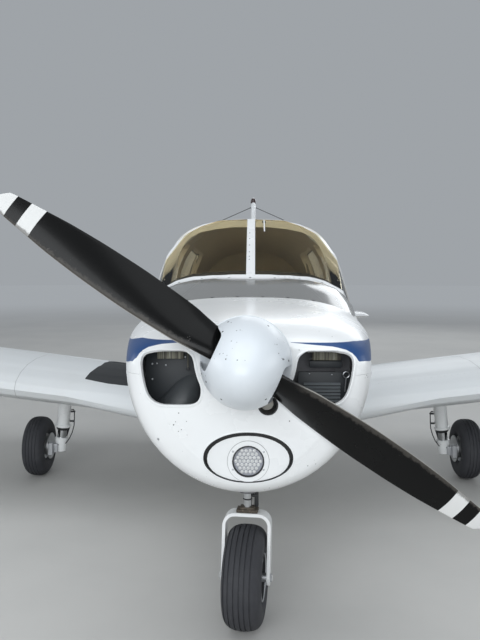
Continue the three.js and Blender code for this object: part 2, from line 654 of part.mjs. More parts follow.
// Stabilator: two halves on one tube, with a notch for the rudder and tabs behind
const stabilatorPivot = STABILATOR.station + STABILATOR.pivot;
const STABILATOR_SECTION = aerofoil(0.1, 0, 8);
const tabHinge = STABILATOR.chord - STABILATOR.tab;
const TAB = { from: 290, to: 1010, radius: 9 };

function stabilatorHalf() {
  const half = STABILATOR.span / 2;
  const panel = loft([
    sectionAt(STABILATOR_SECTION, 110, STABILATOR.chord),
    sectionAt(STABILATOR_SECTION, half - 70, STABILATOR.chord),
    sectionAt(STABILATOR_SECTION.map(([t, h]) => [t, h * 0.75]), half - 25, STABILATOR.chord * 0.97, 14),
    sectionAt(STABILATOR_SECTION.map(([t, h]) => [t, h * 0.3]), half, STABILATOR.chord * 0.92, 38),
  ]);
  const behind = STABILATOR.chord + 50;
  const rootOutline = [[0, -50], [236, -50], [236, 90], [150, 300], [150, 505], [285, behind], [0, behind]];
  const rootShape = new THREE.Shape(rootOutline.map(([u, v]) => new THREE.Vector2(u, v)));
  const root = new THREE.ExtrudeGeometry(rootShape, { depth: 200, bevelEnabled: false });
  root.translate(0, 0, -100);
  const tabCove = spanwise(coveSection(tabHinge, 0, TAB.radius + MOVING_GAP, STABILATOR.chord + 40, 60),
    TAB.from - MOVING_GAP, TAB.to + MOVING_GAP);
  return cut(solid(panel), solid(root), solid(tabCove));
}

const halfStabilator = geometryOf(stabilatorHalf());
const stabilatorTube = new THREE.CylinderGeometry(26, 26, 520, 16)
  .rotateZ(Math.PI / 2).translate(0, STABILATOR.pivot, 0);
const stabilatorWhole = geometryOf(joined(halfStabilator, mirrored(halfStabilator), stabilatorTube));
const stabilatorPlace = (geometry) => geometry.translate(0, y(STABILATOR.station), STABILATOR.height);
add('stabilator', stabilatorPlace(stabilatorWhole), WHITE);
const tab = spanwise(surfaceSection(tabHinge, 0, TAB.radius, STABILATOR.chord, 0), TAB.from, TAB.to);
add('anti_servo_tab_left', stabilatorPlace(tab.clone()), WHITE);
add('anti_servo_tab_right', stabilatorPlace(mirrored(tab)), WHITE);

// Beacon on top of the fin, and a V antenna whose two arms meet in a bore through it
add('beacon', lathe([[0, 0], [34, 0], [34, 14], [30, 40], [18, 62], [0, 70]], 20)
  .rotateX(Math.PI / 2).translate(0, y(6540), FIN.top + FIT), RED_LENS);
const antennaArms = [1, -1].map((side) => rod(
  antennaEnd(side, 36),
  [side * ANTENNA.tipX, ANTENNA.tipStation, ANTENNA.tipHeight],
  4,
  8,
));
add('nav_antenna', geometryOf(joined(antennaCore(0), ...antennaArms)), DARK);

// Main gear: the leg stands square to the wing, so its foot leans out
const legLean = Math.tan(radians(DIHEDRAL));
const legX = (height) => 1355 - (height - 343) * legLean;
const onLeg = (height) => [legX(height), MAIN_STATION, height];
const LEG = { top: 720, bottom: 343, pistonBottom: 265, foot: 173 };
const AXLE_HEIGHT = TYRE_RADIUS;

function mainLeg() {
  const housing = joined(
    rod(onLeg(LEG.top), onLeg(LEG.bottom), 52, 18, 42),
    rod(onLeg(620), onLeg(570), 66, 18, 54),
    box(legX(380) - 14, legX(380) + 14, MAIN_STATION + 20, MAIN_STATION + 72, 360, 400),
  );
  const hollow = rod(onLeg(LEG.bottom + 90), onLeg(LEG.bottom - 5), 33, 20);
  const wingAbove = solid(wingGeometry.clone().translate(0, 0, -FIT));
  return geometryOf(housing.subtract(wingAbove).subtract(solid(hollow)));
}

function mainFoot() {
  return geometryOf(joined(
    rod(onLeg(LEG.bottom + 80), onLeg(LEG.pistonBottom - 5), 31.5, 20),
    rod(onLeg(LEG.pistonBottom), onLeg(LEG.foot), 40, 20),
    rod(onLeg(AXLE_HEIGHT), [MAIN_WHEEL_X + 70, MAIN_STATION, AXLE_HEIGHT], 19, 16),
    box(legX(229) - 14, legX(229) + 14, MAIN_STATION + 25, MAIN_STATION + 72, 214, 251),
  ));
}

// Each pair of links has a knee behind the leg, and a pin at its top and bottom
function torqueLinks() {
  const knee = [legX(310), MAIN_STATION + 165, 310];
  const aft = MAIN_STATION + 88;
  const links = [[380, 378], [234, 235]].flatMap(([height, end]) => [
    rod([legX(height), aft, end], knee, 13, 8),
    rod([legX(height) - 22, aft - 3, end], [legX(height) + 22, aft - 3, end], 12, 8),
  ]);
  return geometryOf(joined(...links));
}

// Tyres and rims are turned about the axle; the profile is radius and distance along it
const TYRE_BEAD = 90;
const TYRE_PROFILE = [[TYRE_BEAD, 49], [110, 66], [142, 74], [177, 69], [200, 46], [TYRE_RADIUS, 0]];

function turnedAboutAxle(profile, segments) {
  return lathe(profile, segments).rotateZ(-Math.PI / 2);
}

function tyre() {
  const outer = [...TYRE_PROFILE, ...TYRE_PROFILE.slice(0, -1).reverse().map(([r, w]) => [r, -w])];
  return turnedAboutAxle([...outer, outer[0]], 32);
}

function rim(boreRadius) {
  const half = [[boreRadius, 46], [38, 46], [46, 27], [66, 27], [TYRE_BEAD - 1, 48]];
  const loop = [...half, ...half.slice().reverse().map(([r, w]) => [r, -w])];
  return turnedAboutAxle([...loop, loop[0]], 20);
}

const brakeDisc = () => turnedAboutAxle([[60, -86], [92, -86], [92, -79], [60, -79], [60, -86]], 20);
const hubPost = () => turnedAboutAxle([[23, -85], [64, -85], [64, -40], [23, -40], [23, -85]], 16);

function brake() {
  return geometryOf(joined(
    box(1402, 1432, MAIN_STATION - 104, MAIN_STATION - 50, 166, 250),
    box(1378, 1412, MAIN_STATION - 76, MAIN_STATION - 41, 178, 238),
  ));
}

const legGeometry = mainLeg();
const footGeometry = mainFoot();
const linkGeometry = torqueLinks();
for (const [side, shaped, sign] of [['left', (g) => g, 1], ['right', mirrored, -1]]) {
  add(`main_leg_${side}`, shaped(legGeometry), WHITE);
  add(`main_piston_${side}`, shaped(footGeometry), CHROME);
  add(`torque_links_${side}`, shaped(linkGeometry), WHITE);
  add(`brake_${side}`, shaped(brake()), STEEL);
  const wheel = new THREE.Group();
  wheel.position.set(sign * MAIN_WHEEL_X, y(MAIN_STATION), AXLE_HEIGHT);
  wheel.rotation.z = sign > 0 ? 0 : Math.PI;
  aircraft.add(wheel);
  add(`main_rim_${side}`, geometryOf(joined(rim(23), brakeDisc(), hubPost())), STEEL, wheel);
  add(`main_tyre_${side}`, tyre(), RUBBER, wheel);
}

// Nose gear: a housing braced to the firewall, and the steered fork below it
const STRUT = { radius: 36, bottom: 552, top: 950, piston: 17 };
const braces = [[925, 230, 955], [925, -230, 955], [700, 0, 860]].map(([height, x, end]) => (
  solid(rod([NOSE.x, NOSE.station + 10, height], [x, FIREWALL + 10, end], 14, 8))
));
const onStrut = (height) => [NOSE.x, NOSE.station, height];
const upright = (bottom, top, radius) => rod(onStrut(bottom), onStrut(top), radius, 24);
add('nose_strut', geometryOf(cut(
  braces.reduce((a, b) => a.add(b), solid(upright(STRUT.bottom, STRUT.top, STRUT.radius))),
  solid(box(-400, 400, FIREWALL - 5 - FIT, FIREWALL + 60, 700, 1200)),
  solid(upright(STRUT.bottom - 5, STRUT.bottom + 120, STRUT.piston + 2)),
)), WHITE);

const steered = new THREE.Group();
steered.position.set(NOSE.x, y(NOSE.station), 0);
steered.rotation.z = radians(NOSE_STEER_REST);
aircraft.add(steered);
const FORK = { top: 466, half: 101, wall: 13, corner: 50, depth: 62, foot: TYRE_RADIUS };

function quarter(x, z, radius, from, to) {
  const steps = 6;
  return Array.from({ length: steps + 1 }, (_, i) => {
    const angle = radians(from + ((to - from) * i) / steps);
    return [x + radius * Math.cos(angle), z + radius * Math.sin(angle)];
  });
}

// A strap bent into an arch: up one leg, round its two corners, down the other leg and back inside
function archOutline({ half, foot, top, wall, corner }) {
  const [x, z] = [half - corner, top - corner];
  return [
    [half, foot],
    ...quarter(x, z, corner, 0, 90),
    ...quarter(-x, z, corner, 90, 180),
    [-half, foot],
    [wall - half, foot],
    ...quarter(-x, z, corner - wall, 180, 90),
    ...quarter(x, z, corner - wall, 90, 0),
    [half - wall, foot],
  ];
}

// The fork's legs rake forward from its top to the axle
const rake = NOSE.lead / (FORK.top - TYRE_RADIUS);
const raked = new THREE.Matrix4().set(1, 0, 0, 0, 0, 1, rake, -rake * FORK.top, 0, 0, 1, 0, 0, 0, 0, 1);
const fork = centred(prismAlongY(archOutline(FORK), -FORK.depth / 2, FORK.depth / 2)).applyMatrix4(raked);
const piston = centred(rod([0, 0, FORK.top - 8], [0, 0, STRUT.bottom + 110], STRUT.piston, 20));
const collar = centred(box(-43, 43, -24, 24, FORK.top - 2, FORK.top + 12));
const onAxle = (x) => [x, -NOSE.lead, TYRE_RADIUS];
const noseAxle = centred(rod(onAxle(-FORK.half - 9), onAxle(FORK.half + 9), 14, 16));
const feet = [-FORK.half, FORK.half - FORK.wall].map((x) => (
  centred(rod(onAxle(x), onAxle(x + FORK.wall), FORK.depth / 2, 24))
));
add('nose_fork', geometryOf(joined(fork, piston, collar, noseAxle, ...feet)), WHITE, steered);
const noseWheel = new THREE.Group();
noseWheel.position.set(0, -NOSE.lead, TYRE_RADIUS);
steered.add(noseWheel);
const NOSE_WIDTH_SHARE = 1.08; // the nose tyre is wider than the main ones
add('nose_rim', rim(20).scale(NOSE_WIDTH_SHARE, 1, 1), STEEL, noseWheel);
add('nose_tyre', tyre().scale(NOSE_WIDTH_SHARE, 1, 1), RUBBER, noseWheel);

// Cabin inside
const FLOOR = 600;
const inside = hull(DECK_SECTIONS, CABIN_WALL + 1, -5, 0).add(cabinDome(CABIN_WALL + 1, 5));
const insidePart = (...limits) => inside.intersect(solid(box(...limits)));
add('cabin_floor', geometryOf(insidePart(-520, 520, FIREWALL + 30, CABIN_END - 45, 575, FLOOR)), SEAT_TRIM);
add('rear_bulkhead', geometryOf(insidePart(-600, 600, CABIN_END - 40, CABIN_END - 30, 500, 1800)), SEAT_TRIM);

const PANEL_STATION = 1790;
const panelBoard = insidePart(-600, 600, PANEL_STATION, PANEL_STATION + 12, 1010, 1392);
const glareshield = inside.intersect(hull(DECK_SECTIONS, CABIN_WALL + 2, 0, 0))
  .intersect(solid(box(-470, 470, 1640, PANEL_STATION + 60, 1378, 1412)));
const YOKE_X = 265;
const YOKE_HEIGHT = 1130;
const onYoke = (x, aft, rise) => [x, PANEL_STATION + aft, YOKE_HEIGHT + rise];
const yokes = [YOKE_X, -YOKE_X].flatMap((x) => [
  rod(onYoke(x, 5, 0), onYoke(x, 190, -10), 11, 12),
  rod(onYoke(x - 110, 185, -10), onYoke(x + 110, 185, -10), 12, 12),
  rod(onYoke(x - 110, 185, -16), onYoke(x - 122, 190, 95), 13, 12),
  rod(onYoke(x + 110, 185, -16), onYoke(x + 122, 190, 95), 13, 12),
]);
const panelParts = [panelBoard, glareshield, ...yokes.map(solid)];
add('instrument_panel', geometryOf(panelParts.reduce((a, b) => a.add(b))), DARK);

// Seat outline in side view, as distance aft of the seat's front edge and height above the floor
const SEAT_OUTLINE = [[0, 190], [40, 150], [470, 150], [560, 190], [700, 780], [640, 800],
  [585, 790], [480, 330], [430, 315], [30, 335], [0, 310]];

function seat(x0, x1, front, floorHeight) {
  const outline = SEAT_OUTLINE.map(([u, v]) => [u + front, v + floorHeight]);
  const base = box(x0 + 125, x1 - 125, front + 80, front + 440, floorHeight + FIT, floorHeight + 160);
  return geometryOf(joined(prismAlongX(outline, x0, x1), base));
}

const FRONT_SEAT = 2160;
const REAR_SEAT = 2960;
add('seat_front_left', seat(40, 470, FRONT_SEAT, FLOOR), SEAT_TRIM);
add('seat_front_right', seat(-470, -40, FRONT_SEAT, FLOOR), SEAT_TRIM);
add('seat_rear', seat(-430, 430, REAR_SEAT, FLOOR), SEAT_TRIM);

// Boarding step behind the starboard wing, and the pitot mast under the port wing
add('boarding_step', geometryOf(joined(
  rod([-330, 3760, 545], [-440, 3800, 400], 11, 12),
  box(-500, -380, 3755, 3845, 388, 400),
).subtract(hull(CABIN_SECTIONS, -FIT))), DARK);
add('pitot_mast', geometryOf(joined(
  rod([2600, 2500, 860], [2612, 2490, 715], 14, 10),
  rod([2612, 2460, 716], [2612, 2540, 716], 12, 10),
).subtract(solid(wingGeometry))), WHITE);

export default aircraft;
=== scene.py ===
"""The looks of a parked light aircraft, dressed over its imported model.

Metres, in the model's own frame: the nose points to -Y, +X is port and +Z is up.
A station is a distance aft of the spinner's tip, so y = station - HALF_LENGTH.
"""
import math
from types import SimpleNamespace

import bmesh
import bpy
from mathutils import Matrix, Vector
from mathutils.bvhtree import BVHTree


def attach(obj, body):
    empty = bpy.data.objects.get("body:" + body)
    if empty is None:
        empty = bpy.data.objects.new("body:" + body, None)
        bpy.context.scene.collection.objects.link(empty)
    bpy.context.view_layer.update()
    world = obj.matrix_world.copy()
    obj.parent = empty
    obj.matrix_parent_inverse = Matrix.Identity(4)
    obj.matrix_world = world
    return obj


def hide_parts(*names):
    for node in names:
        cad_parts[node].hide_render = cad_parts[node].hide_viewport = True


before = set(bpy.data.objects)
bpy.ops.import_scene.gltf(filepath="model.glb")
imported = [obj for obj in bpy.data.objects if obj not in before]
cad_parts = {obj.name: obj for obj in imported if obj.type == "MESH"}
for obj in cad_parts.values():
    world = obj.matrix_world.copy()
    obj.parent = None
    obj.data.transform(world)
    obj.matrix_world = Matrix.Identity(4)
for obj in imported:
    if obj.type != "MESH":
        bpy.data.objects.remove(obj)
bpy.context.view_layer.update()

# Driving places, as in the model
HALF_LENGTH = 3.55
FIREWALL = 1.265
HUB = Vector((-0.007, 0.2318 - HALF_LENGTH, 1.172))
THRUST_DOWN = math.radians(2.26)
THRUST_ASIDE = math.radians(0.79)
PROP_ANGLE = math.radians(34)
SPINNER_LENGTH = 0.284
SPINNER_RADIUS = 0.149
SPINNER_BASE = 0.0522
TYRE_RADIUS = 0.208
MAIN_STATION = 2.786
MAIN_WHEEL_X = 1.525
NOSE_AXIS = (-0.005, 0.834)
NOSE_LEAD = 0.048
NOSE_STEER = math.radians(-7)
NOSE_WIDTH_SHARE = 1.08
WING_ROOT = Vector((0.560, 1.991 - HALF_LENGTH, 0.655))
DIHEDRAL = math.radians(7)

# Camera, solved from the photograph
CAMERA_PLACE = (0.0223, -5.407, 1.472)
CAMERA_PITCH = math.radians(-4.35)
CAMERA_YAW = math.radians(1.28)
CAMERA_ROLL = 0.0012
CAMERA_LENS = 37.125

# Base colours, linear
WHITE = (0.86, 0.87, 0.875)
BLUE = (0.003, 0.050, 0.185)
# Painted reflection: the deck's white paint is laid grey as if it mirrored the dark windshield and the dark
# space above
DECK_REFLECTION_GREY = (0.19, 0.19, 0.185)
WALKWAY_GREY = (0.024, 0.026, 0.028)
# Black, laid as painted shadow in the gap round the lamp's plate
SHADOW_BLACK = (0.010, 0.010, 0.011)
RUBBER = (0.034, 0.035, 0.041)
SKY = (0.68, 0.725, 0.77)
SKY_STRENGTH = 1.02
STEEL = (0.52, 0.53, 0.55)

QUARTER = math.pi / 2

# Directions, and how far off rays start that look for the skin
FORWARD, AFT, DOWN = (0, -1, 0), (0, 1, 0), (0, 0, -1)
BEFORE_NOSE = -4.0
BESIDE_BODY = 1.2


def at(x, station, z):
    return Vector((x, station - HALF_LENGTH, z))


# Materials

class Finish:
    """A procedural material on one Principled shader, with masks by place in the model's frame."""

    def __init__(self, name, color, roughness, **fixed):
        self.material = bpy.data.materials.new(name)
        self.material.use_nodes = True
        self.tree = self.material.node_tree
        self.shader = self.tree.nodes["Principled BSDF"]
        self.color = (*color, 1.0)
        self.roughness = roughness
        self.normal = None
        for key, value in fixed.items():
            self.shader.inputs[key.replace("_", " ")].default_value = value
        self.place = self.node("ShaderNodeTexCoord").outputs["Object"]
        parts = self.node("ShaderNodeSeparateXYZ")
        self.feed(parts.inputs[0], self.place)
        self.x, self.y, self.z = parts.outputs
        self.side = self.math("ABSOLUTE", self.x)
        self.station = self.plus(self.y, HALF_LENGTH)

    def node(self, kind, **settings):
        made = self.tree.nodes.new(kind)
        for key, value in settings.items():
            setattr(made, key, value)
        return made

    def feed(self, socket, value):
        if isinstance(value, bpy.types.NodeSocket):
            self.tree.links.new(value, socket)
        else:
            socket.default_value = value

    def math(self, operation, *values):
        made = self.node("ShaderNodeMath", operation=operation)
        for socket, value in zip(made.inputs, values):
            self.feed(socket, value)
        return made.outputs[0]

    def plus(self, first, second):
        return self.math("ADD", first, second)

    def minus(self, first, second):
        return self.math("SUBTRACT", first, second)

    def times(self, first, second):
        return self.math("MULTIPLY", first, second)

    def step(self, value, low, high):
        """0 below low, 1 above high and smooth between; low may be the greater one."""
        made = self.node("ShaderNodeMapRange", interpolation_type="SMOOTHSTEP")
        self.feed(made.inputs["Value"], value)
        self.feed(made.inputs["From Min"], low)
        self.feed(made.inputs["From Max"], high)
        return made.outputs[0]

    def both(self, *masks):
        result = masks[0]
        for mask in masks[1:]:
            result = self.math("MULTIPLY", result, mask)
        return result

    def either(self, *masks):
        result = masks[0]
        for mask in masks[1:]:
            result = self.math("MAXIMUM", result, mask)
        return result

    def near(self, value, place, width):
        """1 at a place, fading over the outer half of a width each way."""
        return self.step(self.math("ABSOLUTE", self.minus(value, place)), width, width * 0.5)

    def lines(self, value, places, width):
        """1 on thin lines where the value passes each place."""
        return self.either(*[self.near(value, place, width) for place in places])

    def curve(self, value, points):
        """A broken line through (value, result) points, held level past its ends."""
        (x0, x1), ys = (points[0][0], points[-1][0]), [y for _, y in points]
        y0, y1 = min(ys), max(ys) + 1e-6
        made = self.node("ShaderNodeFloatCurve")
        line = made.mapping.curves[0]
        shares = [((x - x0) / (x1 - x0), (y - y0) / (y1 - y0)) for x, y in points]
        line.points[0].location = shares[0]
        line.points[1].location = shares[-1]
        for share in shares[1:-1]:
            line.points.new(*share)
        for point in line.points:
            point.handle_type = "VECTOR"
        made.mapping.update()
        scaled = self.node("ShaderNodeMapRange")
        self.feed(scaled.inputs["Value"], value)
        self.feed(scaled.inputs["From Min"], x0)
        self.feed(scaled.inputs["From Max"], x1)
        self.feed(made.inputs["Value"], scaled.outputs[0])
        return self.math("MULTIPLY_ADD", made.outputs[0], y1 - y0, y0)

    def noise(self, scale, detail=3.0, roughness=0.5, stretch=(1, 1, 1)):
        turned = self.node("ShaderNodeMapping")
        self.feed(turned.inputs["Vector"], self.place)
        turned.inputs["Scale"].default_value = stretch
        made = self.node("ShaderNodeTexNoise")
        self.feed(made.inputs["Vector"], turned.outputs[0])
        made.inputs["Scale"].default_value = scale
        made.inputs["Detail"].default_value = detail
        made.inputs["Roughness"].default_value = roughness
        return made.outputs["Fac"]

    def patches(self, low, high, *noise):
        """1 in the patches where a noise is above high and 0 where it is below low."""
        return self.step(self.noise(*noise), low, high)

    def specks(self, scale, size):
        """Small round spots, one at most in each cell."""
        made = self.node("ShaderNodeTexVoronoi")
        self.feed(made.inputs["Vector"], self.place)
        made.inputs["Scale"].default_value = scale
        picked = self.step(self.noise(scale * 0.21, 1.0), 0.60, 0.66)
        return self.both(self.step(made.outputs["Distance"], size, size * 0.6), picked)

    def attribute(self, name):
        return self.node("ShaderNodeAttribute", attribute_name=name).outputs["Fac"]

    def coat_on(self, mask, color, roughness=None, share=None):
        """Lays a share of another colour, and roughness, over the finish where the mask is 1."""
        if share is not None:
            mask = self.times(mask, share)
        mixed = self.node("ShaderNodeMix", data_type="RGBA")
        self.feed(mixed.inputs["Factor"], mask)
        self.feed(mixed.inputs["A"], self.color)
        self.feed(mixed.inputs["B"], (*color, 1.0))
        self.color = mixed.outputs["Result"]
        if roughness is not None:
            self.roughen(mask, roughness)

    def roughen(self, mask, roughness):
        mixed = self.node("ShaderNodeMix", data_type="FLOAT")
        self.feed(mixed.inputs["Factor"], mask)
        self.feed(mixed.inputs["A"], self.roughness)
        self.feed(mixed.inputs["B"], roughness)
        self.roughness = mixed.outputs["Result"]

    def bump(self, height, distance, strength=1.0):
        made = self.node("ShaderNodeBump")
        made.inputs["Strength"].default_value = strength
        made.inputs["Distance"].default_value = distance
        self.feed(made.inputs["Height"], height)
        if self.normal:
            self.feed(made.inputs["Normal"], self.normal)
        self.normal = made.outputs[0]

    def groove(self, mask, color, roughness, depth, share=None):
        """Lays another colour in a hollow of some depth where the mask is 1."""
        self.coat_on(mask, color, roughness, share)
        self.bump(self.times(mask, -1.0), depth)

    def done(self):
        self.feed(self.shader.inputs["Base Color"], self.color)
        self.feed(self.shader.inputs["Roughness"], self.roughness)
        if self.normal:
            self.feed(self.shader.inputs["Normal"], self.normal)
        return self.material


# Seams of the skin: stations of the frames, heights along the sides, distances out on the wing and its spar
FRAME_SEAMS = (FIREWALL + 0.002, 1.955, 2.93, 3.55, 3.899, 4.62, 5.33, 6.02)
BELT_HEIGHTS = (0.83, 1.02)
WING_LAPS = (1.405, 2.02, 2.78, 3.54, 4.20)
SPAR_LAP = 2.62

# The walkway: its outer edge by station, and its front edge by distance out
WALKWAY_EDGE = [(2.05, 1.015), (2.15, 1.018), (2.45, 0.994), (2.90, 1.020), (3.4, 1.02)]
WALKWAY_FRONT = [(0.60, 2.060), (0.85, 2.097), (0.95, 2.112), (1.02, 2.125)]

# The stripe: heights of its edges by distance out across the nose, and how far they drop going aft
STRIPE_TOP = [(0.134, 1.2345), (0.36, 1.2300), (0.38, 1.2275), (0.43, 1.2270)]
STRIPE_BOTTOM = [(0.134, 1.2340), (0.165, 1.231), (0.208, 1.2265), (0.25, 1.2225), (0.28, 1.2195),
                 (0.30, 1.215), (0.326, 1.208), (0.346, 1.197), (0.358, 1.185), (0.366, 1.172),
                 (0.370, 1.169), (0.392, 1.168), (0.44, 1.156), (0.48, 1.150)]
STRIPE_DROP = [(0.43, 0.0), (0.708, 0.020), (1.265, 0.050), (2.4, 0.085), (3.9, 0.085), (5.4, 0.060),
               (6.6, 0.045)]
STRIPE_THIN = [(2.0, 0.0), (4.2, 0.022), (6.2, 0.062), (6.6, 0.085)]


def stripe_mask(paint):
    """The stripe sits a little higher and further out on starboard."""
    starboard = paint.step(paint.x, 0.0005, -0.0005)
    side = paint.minus(paint.side, paint.times(starboard, 0.007))
    lifted = paint.both(starboard, paint.step(side, 0.43, 0.37))
    height = paint.minus(paint.z, paint.times(lifted, 0.006))
    drop = paint.curve(paint.station, STRIPE_DROP)
    thin = paint.curve(paint.station, STRIPE_THIN)
    top = paint.minus(paint.curve(side, STRIPE_TOP), drop)
    sag = paint.times(paint.both(starboard, paint.step(side, 0.370, 0.382)), 0.009)
    bottom = paint.plus(paint.minus(paint.curve(side, STRIPE_BOTTOM), drop), thin)
    bottom = paint.minus(bottom, sag)
    edge = 0.0007
    below = paint.step(paint.minus(top, height), -edge, edge)
    above = paint.step(paint.minus(height, bottom), -edge, edge)
    outside = paint.step(side, 0.140, 0.142)
    return paint.both(below, above, outside)


def age(paint, amount=1.0):
    """Thin grime, uneven gloss and the ripple of sprayed paint."""
    grime = paint.patches(0.42, 0.80, 2.3, 6.0, 0.62)
    paint.coat_on(grime, (0.55, 0.53, 0.49), share=0.16 * amount)
    streaks = paint.patches(0.55, 0.85, 14.0, 4.0, 0.6, (1.0, 0.12, 1.0))
    paint.coat_on(streaks, (0.50, 0.48, 0.44), share=0.10 * amount)
    paint.roughen(paint.times(grime, 0.5), 0.42)
    paint.bump(paint.noise(420.0, 1.0), 0.00006)
    paint.bump(paint.noise(3.1, 2.0), 0.0012, 0.25)


def faces_out(paint):
    """1 on the shell's outer faces and 0 on the ones in the cabin."""
    normal = paint.node("ShaderNodeSeparateXYZ")
    paint.feed(normal.inputs[0], paint.node("ShaderNodeTexCoord").outputs["Normal"])
    across = paint.times(paint.x, normal.outputs[0])
    up = paint.times(paint.minus(paint.z, 1.14), normal.outputs[2])
    return paint.step(paint.plus(across, up), -0.01, 0.0)


def body_paint():
    paint = Finish("body_paint", WHITE, 0.24, Coat_Weight=0.3, Coat_Roughness=0.06)
    age(paint)
    # Painted reflection: the white deck ahead of the windshield is laid grey, for the dark windshield and
    # space above mirrored in it
    deck = paint.both(paint.step(paint.station, FIREWALL, FIREWALL + 0.002),
                      paint.step(paint.z, 1.250, 1.252), paint.step(paint.station, 1.86, 1.85))
    paint.coat_on(deck, DECK_REFLECTION_GREY, 0.12)
    # Painted reflection: dark diagonal lines on the deck stand for the windshield's edges mirrored in it
    slant = paint.curve(paint.station, [(1.30, 0.349), (1.56, 0.259)])
    reflected_edges = paint.both(paint.near(paint.side, slant, 0.0016), deck,
                       paint.step(paint.station, 1.30, 1.303), paint.step(paint.station, 1.556, 1.553))
    paint.coat_on(reflected_edges, (0.05, 0.05, 0.05), 0.5, 0.7)
    outside = faces_out(paint)
    paint.coat_on(paint.both(stripe_mask(paint), outside), BLUE, 0.3)
    paint.coat_on(paint.minus(1.0, outside), (0.86, 0.78, 0.62), 0.75)
    frames = paint.lines(paint.station, FRAME_SEAMS, 0.0016)
    belt = paint.both(paint.lines(paint.z, BELT_HEIGHTS, 0.0014), paint.step(paint.station, 1.27, 1.28))
    paint.groove(paint.either(frames, belt), (0.16, 0.16, 0.16), 0.6, 0.0008, 0.75)
    return paint.done()


def cowl_paint(name, colour, roughness):
    paint = Finish(name, colour, roughness, Coat_Weight=0.12, Coat_Roughness=0.05)
    age(paint, 0.6)
    paint.coat_on(stripe_mask(paint), BLUE, 0.40)
    front = paint.step(paint.station, 0.75, 0.45)
    chips = paint.both(paint.specks(62.0, 0.17), front)
    paint.groove(chips, (0.09, 0.085, 0.08), 0.7, 0.0003)
    return paint.done()


def wing_paint(side):
    """Wing skin: panel laps, and on starboard the dark walkway by the root."""
    # Painted shade: the wing's white paint is laid a darker grey than the airframe's WHITE
    paint = Finish(f"wing_paint_{'port' if side > 0 else 'starboard'}", (0.66, 0.68, 0.69), 0.45,
                   Coat_Weight=0.05, Coat_Roughness=0.08)
    age(paint, 0.9)
    laps = paint.either(
        paint.lines(paint.side, WING_LAPS, 0.0016),
        paint.both(paint.near(paint.station, SPAR_LAP, 0.0016), paint.step(paint.side, 0.60, 0.61)),
    )
    paint.groove(laps, (0.20, 0.20, 0.20), 0.6, 0.0008, 0.7)
    if side < 0:
        outer = paint.curve(paint.station, WALKWAY_EDGE)
        front = paint.curve(paint.side, WALKWAY_FRONT)
        rise = paint.minus(paint.z, paint.times(paint.side, math.tan(DIHEDRAL)))
        walk = paint.both(paint.step(paint.minus(outer, paint.side), 0.0, 0.002),
                          paint.step(paint.minus(paint.station, front), 0.0, 0.002),
                          paint.step(rise, 0.60, 0.602))
        paint.coat_on(walk, WALKWAY_GREY, 0.85)
        paint.bump(paint.both(walk, paint.noise(900.0, 2.0)), 0.0006)
    return paint.done()


def surface_paint(name, spacing=0.0, upright=False):
    """Tail and control surfaces, the moving ones with beads pressed in their skins."""
    paint = Finish(name, (0.80, 0.81, 0.82), 0.27, Coat_Weight=0.3, Coat_Roughness=0.08)
    age(paint, 0.8)
    if spacing:
        swing = paint.math("PINGPONG", paint.z if upright else paint.side, spacing / 2)
        paint.bump(paint.step(swing, spacing * 0.38, spacing * 0.5), 0.004)
    return paint.done()


def gear_paint():
    paint = Finish("gear_paint", (0.88, 0.89, 0.89), 0.32, Coat_Weight=0.3, Coat_Roughness=0.15)
    age(paint, 1.6)
    oil = paint.patches(0.60, 0.78, 30.0, 5.0, 0.65)
    paint.coat_on(oil, (0.10, 0.085, 0.07), 0.5, 0.35)
    paint.coat_on(paint.specks(160.0, 0.16), (0.16, 0.15, 0.14), 0.6)
    return paint.done()


def blade_paint():
    """Gloss black with the tip bands, worn to bare metal along the leading edge."""
    paint = Finish("blade_paint", (0.004, 0.004, 0.004), 0.22, Specular_IOR_Level=0.16, Coat_Weight=0.06,
                   Coat_Roughness=0.1)
    from_hub = paint.node("ShaderNodeVectorMath", operation="DISTANCE")
    paint.feed(from_hub.inputs[0], paint.place)
    from_hub.inputs[1].default_value = HUB
    radius = from_hub.outputs["Value"]
    paint.roughen(paint.patches(0.35, 0.75, 5.0, 4.0, 0.6), 0.32)
    bands = paint.either(
        paint.both(paint.step(radius, 0.7925, 0.7935), paint.step(radius, 0.8445, 0.8435)),
        paint.step(radius, 0.8915, 0.8925),
    )
    paint.coat_on(bands, (0.74, 0.74, 0.73), 0.3)
    edge, outboard = paint.attribute("edge"), paint.step(radius, 0.16, 0.24)
    ragged = paint.math("MULTIPLY_ADD", paint.noise(60.0, 5.0, 0.7), 0.7, -0.35)
    worn = paint.both(paint.step(paint.plus(edge, ragged), 0.62, 0.85), outboard)
    paint.coat_on(worn, (0.075, 0.068, 0.060), 0.34, 0.7)
    paint.coat_on(paint.both(paint.step(edge, 0.955, 0.985), outboard), (0.30, 0.29, 0.27), 0.3)
    chips = paint.both(paint.specks(110.0, 0.14), paint.step(edge, 0.05, 0.3))
    paint.coat_on(chips, (0.22, 0.21, 0.20), 0.5)
    paint.bump(worn, -0.0003)
    return paint.done()


def tyre_rubber():
    paint = Finish("tyre_rubber", RUBBER, 0.72)
    dust = paint.patches(0.40, 0.75, 9.0, 6.0, 0.7)
    paint.coat_on(dust, (0.075, 0.075, 0.080), 0.9, 0.45)
    paint.bump(paint.noise(320.0, 3.0), 0.00025)
    paint.bump(paint.noise(40.0, 3.0), 0.0006, 0.4)
    return paint.done()


def metal(name, color, roughness, streak=(1, 1, 1), dirt=0.25):
    paint = Finish(name, color, roughness, Metallic=1.0)
    fine = paint.noise(240.0, 3.0, 0.6, streak)
    grime = paint.patches(0.5, 0.8, 18.0, 5.0, 0.65)
    paint.coat_on(grime, (0.12, 0.11, 0.10), min(1.0, roughness + 0.3), dirt)
    paint.roughen(paint.times(fine, 0.5), min(1.0, roughness + 0.2))
    paint.bump(fine, 0.00008)
    return paint.done()


